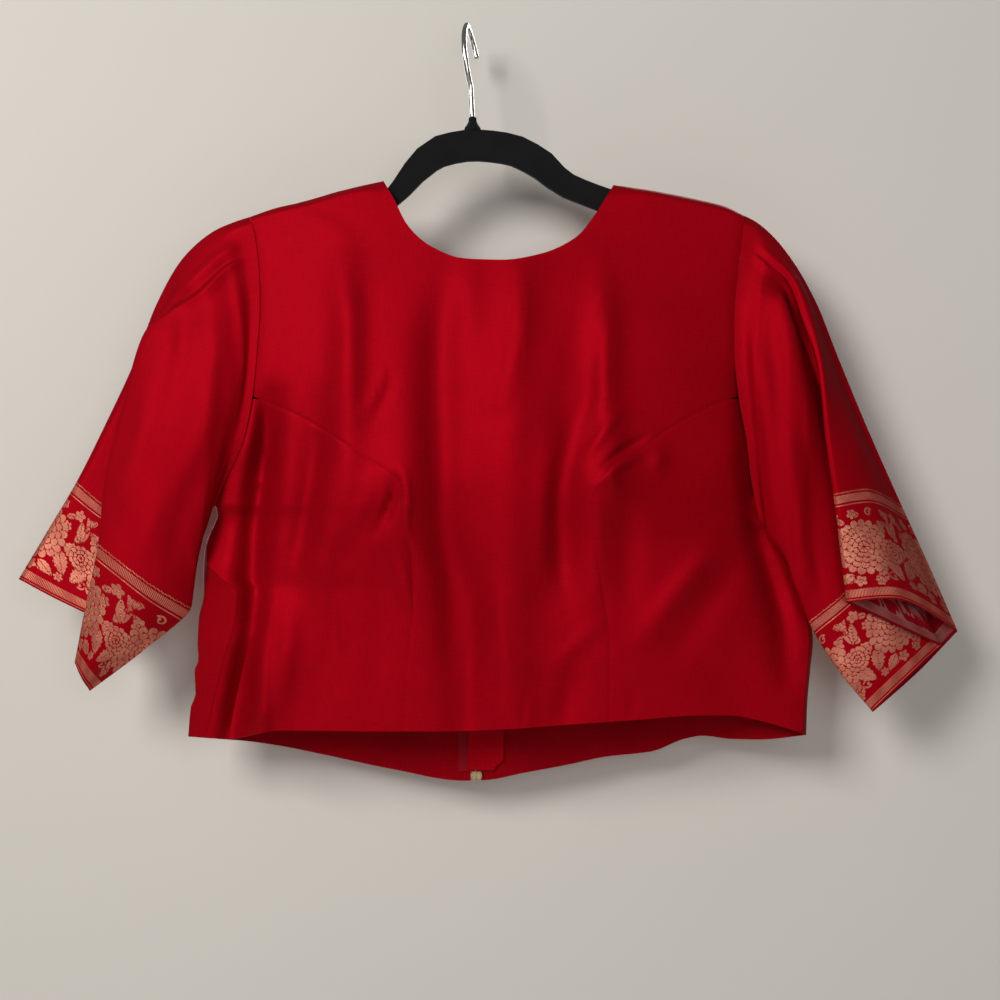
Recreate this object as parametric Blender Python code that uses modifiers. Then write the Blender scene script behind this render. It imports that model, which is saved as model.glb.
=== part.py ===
"""A red silk choli blouse on a velvet hanger, front to -Y, up +Z, metres.

The blouse is cut as three front pieces with curved bust seams, two back pieces
with a zip between them, and two sleeves with a woven border. Every piece is a
wall of cloth. The hanger's hook carries it all, and the origin is the inside of
the hook's crown.
"""
import bmesh
import bpy
import math
from mathutils import Vector

# Outlines are measured on the front view: u to the right and v down, in units
# of UNIT, and y is the depth behind the hanger's plane in millimetres.
UNIT = 0.755
EYE_U = 500.0
EYE_V = 500.0
EYE_DISTANCE = 1100.0
CROWN = (466.8, 27.6, 17.0)

SILK = 1.0          # wall of the silk, millimetres
BAND_WALL = 1.0     # wall of the woven border
TAPE_WALL = 1.0     # wall of the zip's tapes and its guard
SEAM = 0.5          # gap along a seam, in view units
SIDE_LAP = 2.0      # how far the back lies behind the front at the side seam, millimetres
ARM_SEAM = 1.0      # gap along the curved armhole seams, in view units

HANGER_HALF = 2.6   # half thickness of the hanger's bar
WIRE_RADIUS = 1.9   # hook's wire

# Shoulder line, from the armhole to the neck: u, v.
SHOULDER_LEFT = [(249.7, 217.0), (277.0, 208.0), (306.0, 201.5), (351.0, 188.5), (383.5, 181.0)]
SHOULDER_RIGHT = [(613.5, 185.0), (653.0, 191.0), (691.0, 198.5), (723.0, 206.0), (745.0, 216.0)]

# Front neckline, left to right: u, v.
NECK = [
    (383.5, 181.0), (394.0, 199.0), (407.4, 224.8), (430.4, 245.8), (464.8, 258.3), (503.0, 259.6),
    (541.0, 253.5), (575.7, 237.2), (595.0, 214.3), (613.5, 185.0),
]

# Armhole seams, top to bottom: v, u.
ARMHOLE_LEFT = [
    (217.0, 249.7), (236.0, 255.0), (271.0, 259.0), (303.0, 260.0), (351.0, 257.0), (396.0, 252.5),
    (440.0, 243.5), (459.0, 236.0), (485.0, 223.5), (505.0, 215.5),
]
ARMHOLE_RIGHT = [
    (216.0, 745.0), (241.0, 741.5), (275.0, 737.7), (318.0, 734.2), (348.0, 734.2), (396.0, 738.5),
    (440.0, 746.5), (481.5, 751.6), (505.0, 756.0), (521.0, 761.0),
]

# Bust seams, from the armhole to the bust point and down to the hem: v, u.
BUST_SEAM_LEFT = [
    (396.0, 252.5), (404.5, 273.7), (415.5, 298.7), (428.7, 322.0), (442.0, 342.6), (455.0, 363.0),
    (466.0, 380.0), (476.0, 393.5), (486.0, 400.8), (516.0, 400.0), (538.6, 406.5), (557.7, 411.0),
    (605.0, 413.0), (675.0, 406.6), (745.0, 403.0),
]
BUST_SEAM_RIGHT = [
    (396.0, 738.5), (404.5, 714.0), (415.5, 692.0), (428.7, 669.0), (442.0, 650.5), (455.0, 634.5),
    (466.0, 621.5), (476.0, 609.5), (486.0, 599.0), (508.0, 592.0), (553.7, 596.7), (595.0, 603.6),
    (645.5, 609.8), (745.0, 608.0),
]

# Side seams below the armholes: v, u, y.
SIDE_SEAM_LEFT = [
    (505.0, 215.5, -7.0), (509.0, 217.0, -5.0), (515.0, 218.0, -2.0), (524.0, 215.5, 0.0),
    (534.0, 211.0, 0.5), (548.0, 207.0, -1.0), (562.0, 207.5, -6.0), (577.0, 220.0, -15.0),
    (592.0, 236.5, -19.0), (623.0, 234.0, -16.0), (657.0, 224.5, -13.0), (691.0, 216.0, -10.0),
    (745.0, 204.5, -8.0),
]
SIDE_SEAM_RIGHT = [
    (521.0, 761.0, -6.0), (525.0, 760.0, -3.0), (531.0, 760.5, 1.0), (540.0, 767.0, 2.0),
    (552.0, 778.0, 2.0), (566.0, 787.0, 2.0), (580.0, 793.0, 2.0), (610.0, 804.5, 0.0),
    (640.0, 809.0, -4.0), (672.0, 807.0, -6.0), (708.0, 804.0, -7.0), (745.0, 802.0, -8.0),
]

# Body edges, where the back turns round to meet the side seam: v, u.
BODY_EDGE_LEFT = [
    (505.0, 216.0), (509.0, 217.5), (515.0, 218.5), (524.0, 215.5), (534.0, 210.5), (548.0, 206.0),
    (563.0, 204.5), (596.0, 204.5), (617.0, 200.0),
    (645.0, 198.5), (659.0, 199.5), (671.0, 195.5), (694.0, 196.5), (707.0, 191.8), (745.0, 188.5),
]
BODY_EDGE_RIGHT = [
    (521.0, 761.5), (525.0, 760.5), (531.0, 761.0), (540.0, 767.5), (552.0, 778.5), (566.0, 788.0),
    (580.0, 794.0), (610.0, 806.0), (640.0, 812.0), (672.0, 809.0),
    (708.0, 806.0), (745.0, 805.0),
]

# Hems: u, v.
FRONT_HEM = [
    (206.0, 737.0), (225.0, 739.4), (253.8, 734.7), (279.5, 730.6), (379.0, 731.4), (440.0, 731.4),
    (504.8, 729.3), (560.0, 725.3), (632.0, 720.3), (702.6, 715.5), (731.0, 715.5), (754.0, 719.3),
    (779.0, 726.0), (804.0, 733.7),
]
BACK_HEM = [
    (189.0, 736.5), (228.0, 739.4), (243.0, 740.5), (279.5, 745.5), (321.0, 753.8), (395.6, 769.6),
    (463.8, 780.6), (485.0, 780.0), (522.7, 773.0), (568.7, 764.3), (605.0, 756.6), (651.0, 751.4),
    (685.0, 738.5), (702.6, 735.5), (731.0, 738.8), (760.0, 739.4), (806.0, 735.0),
]

# Back neck, a deep round one: v, u of its left side and u of its right side.
BACK_NECK = [
    (181.0, 378.0, 619.0), (215.0, 372.0, 625.0), (260.0, 368.0, 629.0), (310.0, 371.0, 626.0),
    (350.0, 381.0, 616.0), (385.0, 400.0, 596.0), (410.0, 425.0, 560.0), (424.0, 448.0, 520.0),
    (430.0, 470.6, 480.8),
]
BACK_NECK_BOTTOM = 430.0
ZIP_U = 475.7
ZIP_HALF_GAP = 5.1       # half the gap between the back edges, view units
TAPE_WIDTH = 17.5        # width of one tape, view units
TAPE_ENDS = (432.0, 771.2)
GUARD_EDGES = (468.0, 503.5)
GUARD_ENDS = (434.0, 770.0)
GUARD_CORNER = 12.0
INSIDE_GAP = 0.4         # between the layers at the zip, millimetres
BOX_PLACE = (476.35, 775.5)
BOX_SIZE = (8.5, 2.2, 5.7)
SLIDER_V = 441.0
SLIDER_SIZE = (8.0, 1.6, 10.0)
BRIDGE_RADIUS = 2.0      # ring over the slider that carries the pull tab
BRIDGE_HOLE = 1.2
BRIDGE_WIDTH = 2.0
BRIDGE_REACH = 1.6       # from the slider's face out to the ring's axis
TAB_LENGTH = 20.0
TAB_HALF_WIDTH = 2.6
TAB_THICKNESS = 1.0
TAB_BAR = 1.2            # top bar of the tab, inside the ring
TAB_SLOT = (3.0, 3.4)

# Front folds: (v, u) along the fold, height toward the viewer in millimetres,
# half width in view units, and the v where it fades in and out.
FRONT_FOLDS = [
    ("side valley", [(400, 262), (520, 258), (632, 247), (745, 228)], -11.0, 17.0, 430, 900),
    ("side crest", [(600, 272), (657, 262), (745, 261)], 9.0, 9.0, 640, 900),
    ("left trough", [(430, 316), (590, 292)], -5.0, 17.0, 430, 590),
    ("left ridge", [(260, 340), (433, 348), (502, 342), (560, 322)], 5.0, 16.0, 280, 560),
    ("centre valley", [(300, 440), (517, 440), (600, 462), (745, 466)], -8.0, 24.0, 330, 900),
    ("centre ridge", [(260, 520), (500, 512), (745, 516)], 5.0, 20.0, 280, 900),
    ("right valley", [(390, 586), (480, 568), (560, 566)], -5.0, 14.0, 400, 570),
    ("right ridge", [(290, 602), (480, 614)], 4.0, 15.0, 300, 470),
    ("hem roll", [(600, 735), (745, 742)], -4.0, 38.0, 660, 900),
]

# Sleeve sections from the shoulder seam's side to the hem. Each row holds the
# points round one section as (u, v, y): the outer edge, the layer behind it,
# the two turns of the long fold, two points of the layer nearest the body, the
# underarm edge and the back. Row 6 is the border's seam and row 8 is the hem.
SLEEVE_LEFT = [
    [(214, 231, 0), (222, 246, -9), (226, 258, -12), (230, 272, -15), (237, 304, -19),
     (242, 368, -22), (209, 521, -7), (231, 440, 11)],
    [(183, 258, 0), (190, 273, -10), (195, 285, -14), (200, 300, -18), (210, 332, -23),
     (221, 392, -27), (203.5, 537, -12), (220, 450, 13)],
    [(157, 303, 2), (160, 309, -2), (165, 318, -7), (148, 327, -15), (172, 352, -25),
     (197, 415, -31), (200, 551, -15), (203, 465, 15)],
    [(133, 365, 3), (137, 374, -1), (150, 394, -7), (121.5, 409, -19), (147, 435, -29),
     (176, 480, -32), (197, 566, -16), (181, 490, 16)],
    [(106, 423, 4), (116, 434, 0), (140, 458, -6), (104.5, 480, -22), (129, 503, -31),
     (164, 537, -32), (194.5, 585, -14), (156, 520, 16)],
    [(77, 481, 4), (95, 497, 0), (136, 528, -5), (98, 543, -23), (122, 562, -31),
     (155, 586, -30), (191.5, 607, -12), (138, 556, 16)],
    [(48, 530, 4), (70, 545, 0), (136, 584, -5), (85, 608, -23), (100, 621, -29),
     (122, 637, -27), (143, 651, -12), (112, 590, 16)],
    [(18.6, 579, 2), (50, 596, -2), (128, 633, -9), (74.6, 662, -20), (78, 671, -24),
     (83, 681, -22), (90, 691, -12), (98, 618, 15)],
]
SLEEVE_RIGHT = [
    [(771, 234, 0), (770, 248, -9), (768, 258, -12), (766, 270, -14), (762, 294, -18),
     (756, 360, -24), (767, 537, -7), (759, 440, 11)],
    [(793, 261, 0), (794, 272, -9), (792, 281, -14), (787, 286, -8), (780, 295, -19),
     (770, 380, -28), (779, 551, -13), (778, 455, 13)],
    [(816, 302, 1), (813, 307, -8), (804.5, 316, -17), (802, 324, -5), (794, 324, -22),
     (788, 415, -30), (787, 564, -16), (799, 465, 15)],
    [(838, 357, 2), (830, 363, -12), (818.5, 370, -25), (823, 382, -7), (809, 384, -22),
     (804, 452, -27), (791, 578, -16), (818, 485, 16)],
    [(866, 425, 2), (850, 426, -18), (825, 436, -30), (853, 462, -9), (832, 482, -17),
     (814, 530, -21), (799, 598, -15), (842, 510, 16)],
    [(901, 504, 2), (868, 488, -24), (833, 493, -31), (884, 556, -9), (860, 578, -16),
     (835, 600, -19), (808, 621, -13), (866, 540, 17)],
    [(931, 570, 2), (884, 545, -27), (839.8, 549, -31), (914, 601, -9), (888, 625, -16),
     (864, 646, -19), (837, 669, -13), (896, 612, 17)],
    [(957.5, 631, 0), (899, 599.5, -30), (846, 602.5, -30), (941, 646, -9), (918, 668, -15),
     (896, 689, -17), (872.5, 712, -12), (922, 668, 12)],
]
FOLDS = (0, 2, 3, 6)     # the points of a section where the cloth turns back on itself
# Radius of the turns at each section, in millimetres.
FOLD_RADII = (4.5, 4.5, 3.6, 3.0, 2.8, 2.6, 2.6, 2.6)
SEGMENT_COUNTS = (2, 2, 3, 3, 3, 4, 6, 4)
BAND_ROW = 6
LEVEL_STEP = 0.3
LEVEL_REACH = 2.5        # view units

# Hanger: the bar's middle line and its half depth, left to right: u, v, half.
HANGER_BAR = [
    (196.0, 264.0, 7.0), (204.0, 260.0, 10.5), (218.0, 252.5, 12.5), (250.0, 238.0, 13.5),
    (310.0, 220.0, 13.5), (362.0, 208.5, 13.0), (389.5, 201.0, 9.5), (413.0, 173.5, 12.5),
    (440.0, 151.5, 15.5), (474.0, 145.5, 15.5), (508.0, 149.0, 15.5), (540.0, 164.0, 15.0),
    (563.0, 183.5, 12.5), (590.0, 195.0, 12.0), (612.0, 203.0, 12.5), (640.0, 209.0, 13.0),
    (690.0, 218.5, 13.5), (735.0, 233.5, 13.5), (752.0, 244.0, 12.0), (761.0, 252.0, 8.5),
]
# Collar on the bar: height above the bar's middle, radius, in millimetres.
COLLAR = [(12.1, 6.2), (13.2, 6.0), (15.5, 4.4), (18.0, 3.1), (20.8, 2.9)]
COLLAR_PLACE = (472.6, 145.5, 0.0)

# Hook's wire: u, v, y.
HOOK = [
    (472.4, 117.6, 0), (471.8, 108, 0), (471.2, 96, 0), (470.6, 86, -0.5), (469.2, 80, -2),
    (467.2, 70, -4.5), (465.4, 58, -6), (464.2, 46, -5), (464.1, 36, 0.5), (465.2, 28.4, 8),
    (466.8, 25.1, 17), (468.4, 28.4, 26), (470.8, 36, 33.5), (473.0, 43, 37), (475.0, 51, 38.5),
    (476.6, 58, 38.5),
]

# Depths of the front and back, and the rows and columns that the cloth is laid in.
SHOULDER_GAP = 0.65      # half the gap at the shoulder seam, millimetres
# Depth of the front's edges where it meets the sleeves: v, y.
FRONT_ARM_DEPTH = [
    (181.0, -5.2), (240.0, -7.5), (300.0, -13.0), (380.0, -18.0), (440.0, -17.0), (480.0, -11.0),
    (505.0, -7.0), (521.0, -6.0),
]
# Depth that the front's middle is measured from: v, y.
FRONT_DEPTH = [
    (181.0, -5.2), (240.0, -7.5), (300.0, -12.5), (380.0, -17.0), (440.0, -15.5), (521.0, -11.5),
    (620.0, -8.0), (745.0, -6.0),
]
BACK_ARM_DEPTH = [(181.0, 5.2), (240.0, 7.0), (300.0, 10.0), (440.0, 11.0), (480.0, 9.0), (521.0, 6.0)]
WRAP = 4.0               # how far below the shoulder line the cloth reaches its depth, millimetres
NECK_WRAP = 5.0          # added to it at the neck's corners
# The front's fullness down the body: v, y at the middle, y over the bust.
FRONT_FULLNESS = [
    (181.0, 5.0, 0.0), (260.0, 13.0, 0.0), (360.0, 22.0, 3.0), (440.0, 26.0, 9.0),
    (490.0, 27.0, 11.0), (580.0, 26.0, 5.0), (745.0, 24.0, 2.0),
]
BUST_POINTS = [(404.0, 487.0), (594.0, 487.0)]
BUST_RADIUS = 62.0
SHOULDER_COLUMNS = 6
NECK_SHARES = (0.018, 0.06, 0.13, 0.23, 0.34, 0.45, 0.56, 0.67, 0.78, 0.87, 0.94, 0.982)
YOKE_ROWS = (0.0, 0.006, 0.02, 0.05, 0.12, 0.24, 0.4, 0.58, 0.78, 1.0)
YOKE_V = 396.0
SEAM_ROWS = (404.5, 415.5, 428.7, 442.0, 455.0, 466.0, 476.0)
SKIRT_ROWS = (0.04, 0.075, 0.111, 0.143, 0.1746, 0.25, 0.33, 0.387, 0.444, 0.54, 0.64, 0.74, 0.84, 0.93, 1.0)
SIDE_COLUMNS = 11
BACK_ROWS = (0.0, 0.006, 0.02, 0.05, 0.12, 0.24, 0.38, 0.54, 0.7, 0.84, 0.93, 1.0)
BACK_COLUMNS = 13
BACK_YOKE_V = 442.0      # v of the armhole's edge at the last row over the zip's top
TURN_WIDTH = 15.0        # how far in from the body's edge the turn ends, view units
SLEEVE_STEPS = (
    0.0, 0.3, 0.65, 1.0, 1.5, 2.05, 2.6, 3.1, 3.6, 4.1, 4.6, 5.1, 5.6, BAND_ROW)
BAND_STEPS = (BAND_ROW + 0.024, 6.35, 6.7, 7.0, 7.35, 7.7, 8.0)

# Shares of the body's width and reaches down it that shape the front and the back.
FRONT_ROUNDING = 2.6     # how late the front turns toward its edges
EDGE_FADE = 26.0         # width over which folds die out at the body's edges, view units
FOLD_IN = (70.0, 30.0)   # a fold grows from this far above its start to this far below it
FOLD_OUT = (20.0, 70.0)  # and dies out in the same way about its end
BUST_SQUASH = 0.8        # height of the bust's fullness against its width
CORNER_REACH = 14.0      # reach of the neck corners' rounding, view units
BACK_ROUNDING = 5.0
BACK_FULLNESS = [(181.0, 1.0), (260.0, 5.0), (430.0, 8.0), (560.0, 15.0), (745.0, 18.0)]
WAVE_HEIGHT = 2.2        # loose waves of the back's lower half, millimetres
WAVE_START = 330.0
WAVE_LENGTH = 46.0       # view units a radian
WAVE_RISE = (560.0, 740.0)
ZIP_FLAT = 40.0          # the zip holds the back flat this far round it, view units
NECK_CORNER_V = 181.0
SIDE_TOP_V = 399.0       # top row of the side fronts


def raw(u, v, y):
    """A point of the front view at its real place, in millimetres from the view's corner."""
    spread = (EYE_DISTANCE + y) / EYE_DISTANCE
    return Vector((
        (EYE_U + (u - EYE_U) * spread) * UNIT,
        y,
        -(EYE_V + (v - EYE_V) * spread) * UNIT,
    ))


def at(u, v, y):
    """The same point in metres from the hook's crown."""
    return (raw(u, v, y) - raw(*CROWN)) / 1000.0


def smooth(table, x):
    """Reads a table at x by a curve with no overshoot; the first column is x."""
    last = len(table) - 1
    if x <= table[0][0]:
        return list(table[0][1:])
    if x >= table[last][0]:
        return list(table[last][1:])
    k = 0
    while table[k + 1][0] < x:
        k += 1
    step = table[k + 1][0] - table[k][0]
    t = (x - table[k][0]) / step
    values = []
    for c in range(1, len(table[0])):

        def slope(j):
            if j <= 0 or j >= last:
                return (table[min(j + 1, last)][c] - table[max(j - 1, 0)][c]) / (
                    table[min(j + 1, last)][0] - table[max(j - 1, 0)][0])
            before = (table[j][c] - table[j - 1][c]) / (table[j][0] - table[j - 1][0])
            after = (table[j + 1][c] - table[j][c]) / (table[j + 1][0] - table[j][0])
            if before * after <= 0.0:
                return 0.0
            return 2.0 * before * after / (before + after)

        a, b = table[k][c], table[k + 1][c]
        values.append(
            a * (2 * t**3 - 3 * t**2 + 1) + slope(k) * step * (t**3 - 2 * t**2 + t)
            + b * (3 * t**2 - 2 * t**3) + slope(k + 1) * step * (t**3 - t**2))
    return values


def ease(low, high, x):
    """0 below low, 1 above high, and a smooth rise between."""
    t = min(max((x - low) / (high - low), 0.0), 1.0)
    return t * t * (3.0 - 2.0 * t)


def mix(a, b, t):
    return a + (b - a) * t


def spread_along(points, fractions):
    """Points of a polyline at given fractions of its length."""
    lengths = [0.0]
    for a, b in zip(points, points[1:]):
        lengths.append(lengths[-1] + math.dist(a, b))
    table = [(length, *point) for length, point in zip(lengths, points)]
    return [smooth(table, f * lengths[-1]) for f in fractions]


def body_left(v):
    """u and y of the front's left edge: the armhole, then the side seam."""
    if v < ARMHOLE_LEFT[-1][0]:
        return smooth(ARMHOLE_LEFT, v)[0], None
    return smooth(SIDE_SEAM_LEFT, v)


def body_right(v):
    if v < ARMHOLE_RIGHT[-1][0]:
        return smooth(ARMHOLE_RIGHT, v)[0], None
    return smooth(SIDE_SEAM_RIGHT, v)


def shoulder_v(u):
    """v of the shoulder line at u, level across the neck."""
    line = SHOULDER_LEFT if u < 500 else SHOULDER_RIGHT
    return smooth(line, u)[0]


def shoulder_wrap(u, v):
    """0 on the shoulder line, rising to 1 where the cloth has come round from it."""
    corner = min(abs(u - SHOULDER_LEFT[-1][0]), abs(u - SHOULDER_RIGHT[0][0])) / CORNER_REACH
    reach = WRAP + NECK_WRAP * math.exp(-corner * corner)
    below = max((v - shoulder_v(u)) * UNIT, 0.0)
    return math.sqrt(max(1.0 - (1.0 - min(below / reach, 1.0)) ** 2, 0.0))


def front_y(u, v):
    """Depth of the front's outer face."""
    left_u, left_y = body_left(v)
    right_u, right_y = body_right(v)
    arm_y = smooth(FRONT_ARM_DEPTH, v)[0]
    left_y = arm_y if left_y is None else left_y
    right_y = arm_y if right_y is None else right_y
    p = min(max((u - left_u) / (right_u - left_u), 0.0), 1.0)
    edge = mix(left_y, right_y, p)
    full, bust = smooth(FRONT_FULLNESS, v)
    middle = 1.0 - abs(2.0 * p - 1.0) ** FRONT_ROUNDING
    y = mix(edge, smooth(FRONT_DEPTH, v)[0], middle) - full * middle
    inside = min(1.0, (u - left_u) / EDGE_FADE, (right_u - u) / EDGE_FADE)
    inside = ease(0.0, 1.0, inside)
    for bust_u, bust_v in BUST_POINTS:
        away = math.hypot(u - bust_u, (v - bust_v) * BUST_SQUASH) / BUST_RADIUS
        y -= bust * math.exp(-away * away) * inside
    for _, path, height, half, start, end in FRONT_FOLDS:
        centre = smooth(path, v)[0]
        strength = ease(start - FOLD_IN[0], start + FOLD_IN[1], v)
        strength *= 1.0 - ease(end - FOLD_OUT[0], end + FOLD_OUT[1], v)
        away = (u - centre) / half
        y -= height * strength * math.exp(-away * away) * inside
    return -SHOULDER_GAP + (y + SHOULDER_GAP) * shoulder_wrap(u, v)


def back_y(u, v):
    """Depth of the back's outer face, away from the viewer."""
    left_u = smooth(ARMHOLE_LEFT, v)[0] if v < ARMHOLE_LEFT[-1][0] else smooth(BODY_EDGE_LEFT, v)[0]
    right_u = smooth(ARMHOLE_RIGHT, v)[0] if v < ARMHOLE_RIGHT[-1][0] else smooth(BODY_EDGE_RIGHT, v)[0]
    p = min(max((u - left_u) / (right_u - left_u), 0.0), 1.0)
    edge = smooth(BACK_ARM_DEPTH, v)[0]
    full = smooth(BACK_FULLNESS, v)[0] * (1.0 - abs(2.0 * p - 1.0) ** BACK_ROUNDING)
    wave = WAVE_HEIGHT * math.sin((u - WAVE_START) / WAVE_LENGTH) * ease(*WAVE_RISE, v)
    wave *= 1.0 - abs(2.0 * p - 1.0) ** 6
    wave *= 1.0 - math.exp(-((u - ZIP_U) / ZIP_FLAT) ** 2)
    y = edge + full + wave
    return SHOULDER_GAP + (y - SHOULDER_GAP) * shoulder_wrap(u, v)


def front_rows(v_start):
    """Rows under the yoke: v for the bust seam's rows, then fractions to the hem."""
    rows = [("v", v) for v in SEAM_ROWS if v > v_start]
    return rows + [("to_hem", f) for f in SKIRT_ROWS]


def row_v(kind, value, u):
    """v of a row at u; the lower rows ease into the hem's own line."""
    if kind == "v":
        return value
    return mix(SEAM_ROWS[-1], smooth(FRONT_HEM, u)[0], value)


def front_centre_grid():
    fractions = [i / SHOULDER_COLUMNS for i in range(SHOULDER_COLUMNS + 1)]
    top = spread_along(SHOULDER_LEFT, fractions)
    top += spread_along(NECK, NECK_SHARES)
    top += spread_along(SHOULDER_RIGHT, fractions)
    evenness = [0.0] * len(fractions)
    evenness += [ease(0.0, 0.12, min(share, 1.0 - share)) for share in NECK_SHARES]
    evenness += [0.0] * len(fractions)
    columns = len(top) - 1
    share = [(u - top[0][0]) / (top[-1][0] - top[0][0]) for u, _ in top]
    grid = []
    for j, tight in enumerate(YOKE_ROWS):
        row = []
        for i, (top_u, top_v) in enumerate(top):
            s = share[i]
            f = mix(tight, j / (len(YOKE_ROWS) - 1), evenness[i])
            base_u = mix(ARMHOLE_LEFT[5][1], ARMHOLE_RIGHT[5][1], s)
            v = mix(top_v, YOKE_V, f)
            u = mix(top_u, base_u, f)
            left = smooth(ARMHOLE_LEFT, mix(top[0][1], YOKE_V, f))[0]
            left -= mix(top[0][0], ARMHOLE_LEFT[5][1], f)
            right = smooth(ARMHOLE_RIGHT, mix(top[-1][1], YOKE_V, f))[0]
            right -= mix(top[-1][0], ARMHOLE_RIGHT[5][1], f)
            u += left * (1.0 - s) ** 4 + right * s ** 4
            row.append(at(u, v, front_y(u, v)))
        grid.append(row)
    for kind, value in front_rows(YOKE_V):
        row = []
        for i in range(columns + 1):
            u = mix(252.5, 738.5, share[i])
            for _ in range(3):
                v = row_v(kind, value, u)
                u = mix(smooth(BUST_SEAM_LEFT, v)[0], smooth(BUST_SEAM_RIGHT, v)[0], share[i])
            row.append(at(u, v, front_y(u, v)))
        grid.append(row)
    return grid


def front_side_grid(left):
    """A side front: from the side seam to the bust seam on the left, mirrored in order on the right."""
    seam = BUST_SEAM_LEFT if left else BUST_SEAM_RIGHT
    shift = -SEAM if left else SEAM
    grid = []
    for kind, value in [("v", SIDE_TOP_V)] + front_rows(YOKE_V):
        row = []
        for i in range(SIDE_COLUMNS + 1):
            s = i / SIDE_COLUMNS
            s = s if left else 1.0 - s
            u = 300.0 if left else 700.0
            for _ in range(4):
                v = row_v(kind, value, u)
                edge = (body_left(v) if left else body_right(v))[0]
                inner = smooth(seam, v - SEAM)[0] + shift
                u = mix(edge, inner, s)
            row.append(at(u, v, front_y(u, v)))
        grid.append(row)
    return grid


def back_neck_u(v, left):
    return smooth(BACK_NECK, v)[0 if left else 1]


def back_grid(left):
    """One back piece, from the shoulder to the hem, with its edge turned round to the side seam."""
    shoulder = SHOULDER_LEFT if left else list(reversed(SHOULDER_RIGHT))
    armhole = ARMHOLE_LEFT if left else ARMHOLE_RIGHT
    side_seam = SIDE_SEAM_LEFT if left else SIDE_SEAM_RIGHT
    body_edge = BODY_EDGE_LEFT if left else BODY_EDGE_RIGHT
    centre = ZIP_U - ZIP_HALF_GAP if left else ZIP_U + ZIP_HALF_GAP
    away = -1.0 if left else 1.0
    under_v = armhole[-1][0]
    neck_start = back_neck_u(NECK_CORNER_V, left)
    grid = []
    for f in BACK_ROWS:
        row = []
        for i in range(BACK_COLUMNS + 1):
            s = i / BACK_COLUMNS
            start_u = mix(shoulder[0][0], neck_start, s)
            v = mix(shoulder_v(start_u), mix(BACK_YOKE_V, BACK_NECK_BOTTOM, s), f)
            u = mix(smooth(armhole, v)[0], back_neck_u(v, left), s)
            row.append(at(u, v, back_y(u, v)))
        grid.append(row)
    seam_hem_v = row_v("to_hem", 1.0, side_seam[-1][1])
    for kind, value in front_rows(BACK_YOKE_V + 5.0):
        seam_v = row_v(kind, value, side_seam[-1][1])
        f = (seam_v - BACK_YOKE_V) / (seam_hem_v - BACK_YOKE_V)
        turn = turned_in(under_v, seam_v)
        row = []
        for i in range(BACK_COLUMNS + 1):
            s = i / BACK_COLUMNS
            u = mix(smooth(armhole, BACK_YOKE_V)[0], centre, s)
            top_v = mix(BACK_YOKE_V, BACK_NECK_BOTTOM, s)
            v = seam_v
            for _ in range(4):
                if i:
                    v = mix(top_v, smooth(BACK_HEM, u)[0], f)
                edge = smooth(armhole, v)[0] if v < under_v else smooth(body_edge, v)[0]
                flat_u = mix(edge, centre, s)
                if i < 4:
                    seam = smooth(side_seam, v) if v >= under_v else [edge, side_seam[0][2]]
                    round_u, round_y = turn_point(seam, edge, away, i / 3.0, v)
                    u = mix(flat_u, round_u, turn)
                else:
                    start = edge - away * TURN_WIDTH
                    u = mix(flat_u, mix(start, centre, (i - 3) / (BACK_COLUMNS - 3)), turn)
            y = back_y(u, v)
            if i < 4:
                y = mix(y, round_y, turn)
            row.append(at(u, v, y))
        grid.append(row)
    return grid


def turned_in(under_v, v):
    """How far the back's edge has left the back of the armhole for the side seam at v."""
    return ease(under_v - 52.0, under_v - 1.0, v)


def turn_point(seam, edge_u, away, t, v):
    """A point of the back's turned edge: t 0 at the side seam, 1 on the back."""
    seam_u, seam_y = seam
    back_u = edge_u - away * TURN_WIDTH
    start_y = seam_y + SIDE_LAP
    end_y = back_y(back_u, v)
    path = [
        (0.0, seam_u + away * 0.3, start_y),
        (1.0 / 3.0, mix(seam_u, edge_u, 0.62) + away, mix(start_y, end_y, 0.3)),
        (2.0 / 3.0, edge_u + away, mix(start_y, end_y, 0.62)),
        (1.0, back_u, end_y),
    ]
    return smooth(path, t)


def armhole_ring(left, fractions):
    """The armhole round from the shoulder: down the front by fraction 0.5, then up the back."""
    armhole = ARMHOLE_LEFT if left else ARMHOLE_RIGHT
    away = -ARM_SEAM if left else ARM_SEAM
    seam_y = (SIDE_SEAM_LEFT if left else SIDE_SEAM_RIGHT)[0][2] + SIDE_LAP
    front = []
    back = []
    for k in range(41):
        v = mix(armhole[0][0], armhole[-1][0], k / 40.0)
        u = smooth(armhole, v)[0]
        front.append((u + away, v, front_y(u, v)))
        back.append((u + away, v, mix(back_y(u, v), seam_y, turned_in(armhole[-1][0], v))))
    bottom = (front[-1][0], armhole[-1][0] + ARM_SEAM, seam_y - SIDE_LAP / 2.0)
    front[-1] = back[-1] = bottom
    down = spread_along(front, [2.0 * f for f in fractions if f <= 0.5])
    up = spread_along(list(reversed(back)), [2.0 * f - 1.0 for f in fractions if f > 0.5])
    return down + up


def turned_fold(before, point, after, radius):
    """Three points round a fold, so that its two layers lie a little apart."""
    reach = min(radius / UNIT, 0.4 * math.dist(before, point), 0.4 * math.dist(point, after))
    to_before = Vector((before[0] - point[0], before[1] - point[1])).normalized()
    to_after = Vector((after[0] - point[0], after[1] - point[1])).normalized()
    closed = (1.0 + to_before.dot(to_after)) / 2.0
    apart = reach * UNIT * closed * (1.0 if before[2] > after[2] else -1.0)
    return [
        (point[0] + to_before.x * reach, point[1] + to_before.y * reach, point[2] + apart),
        tuple(point),
        (point[0] + to_after.x * reach, point[1] + to_after.y * reach, point[2] - apart),
    ]


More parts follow.
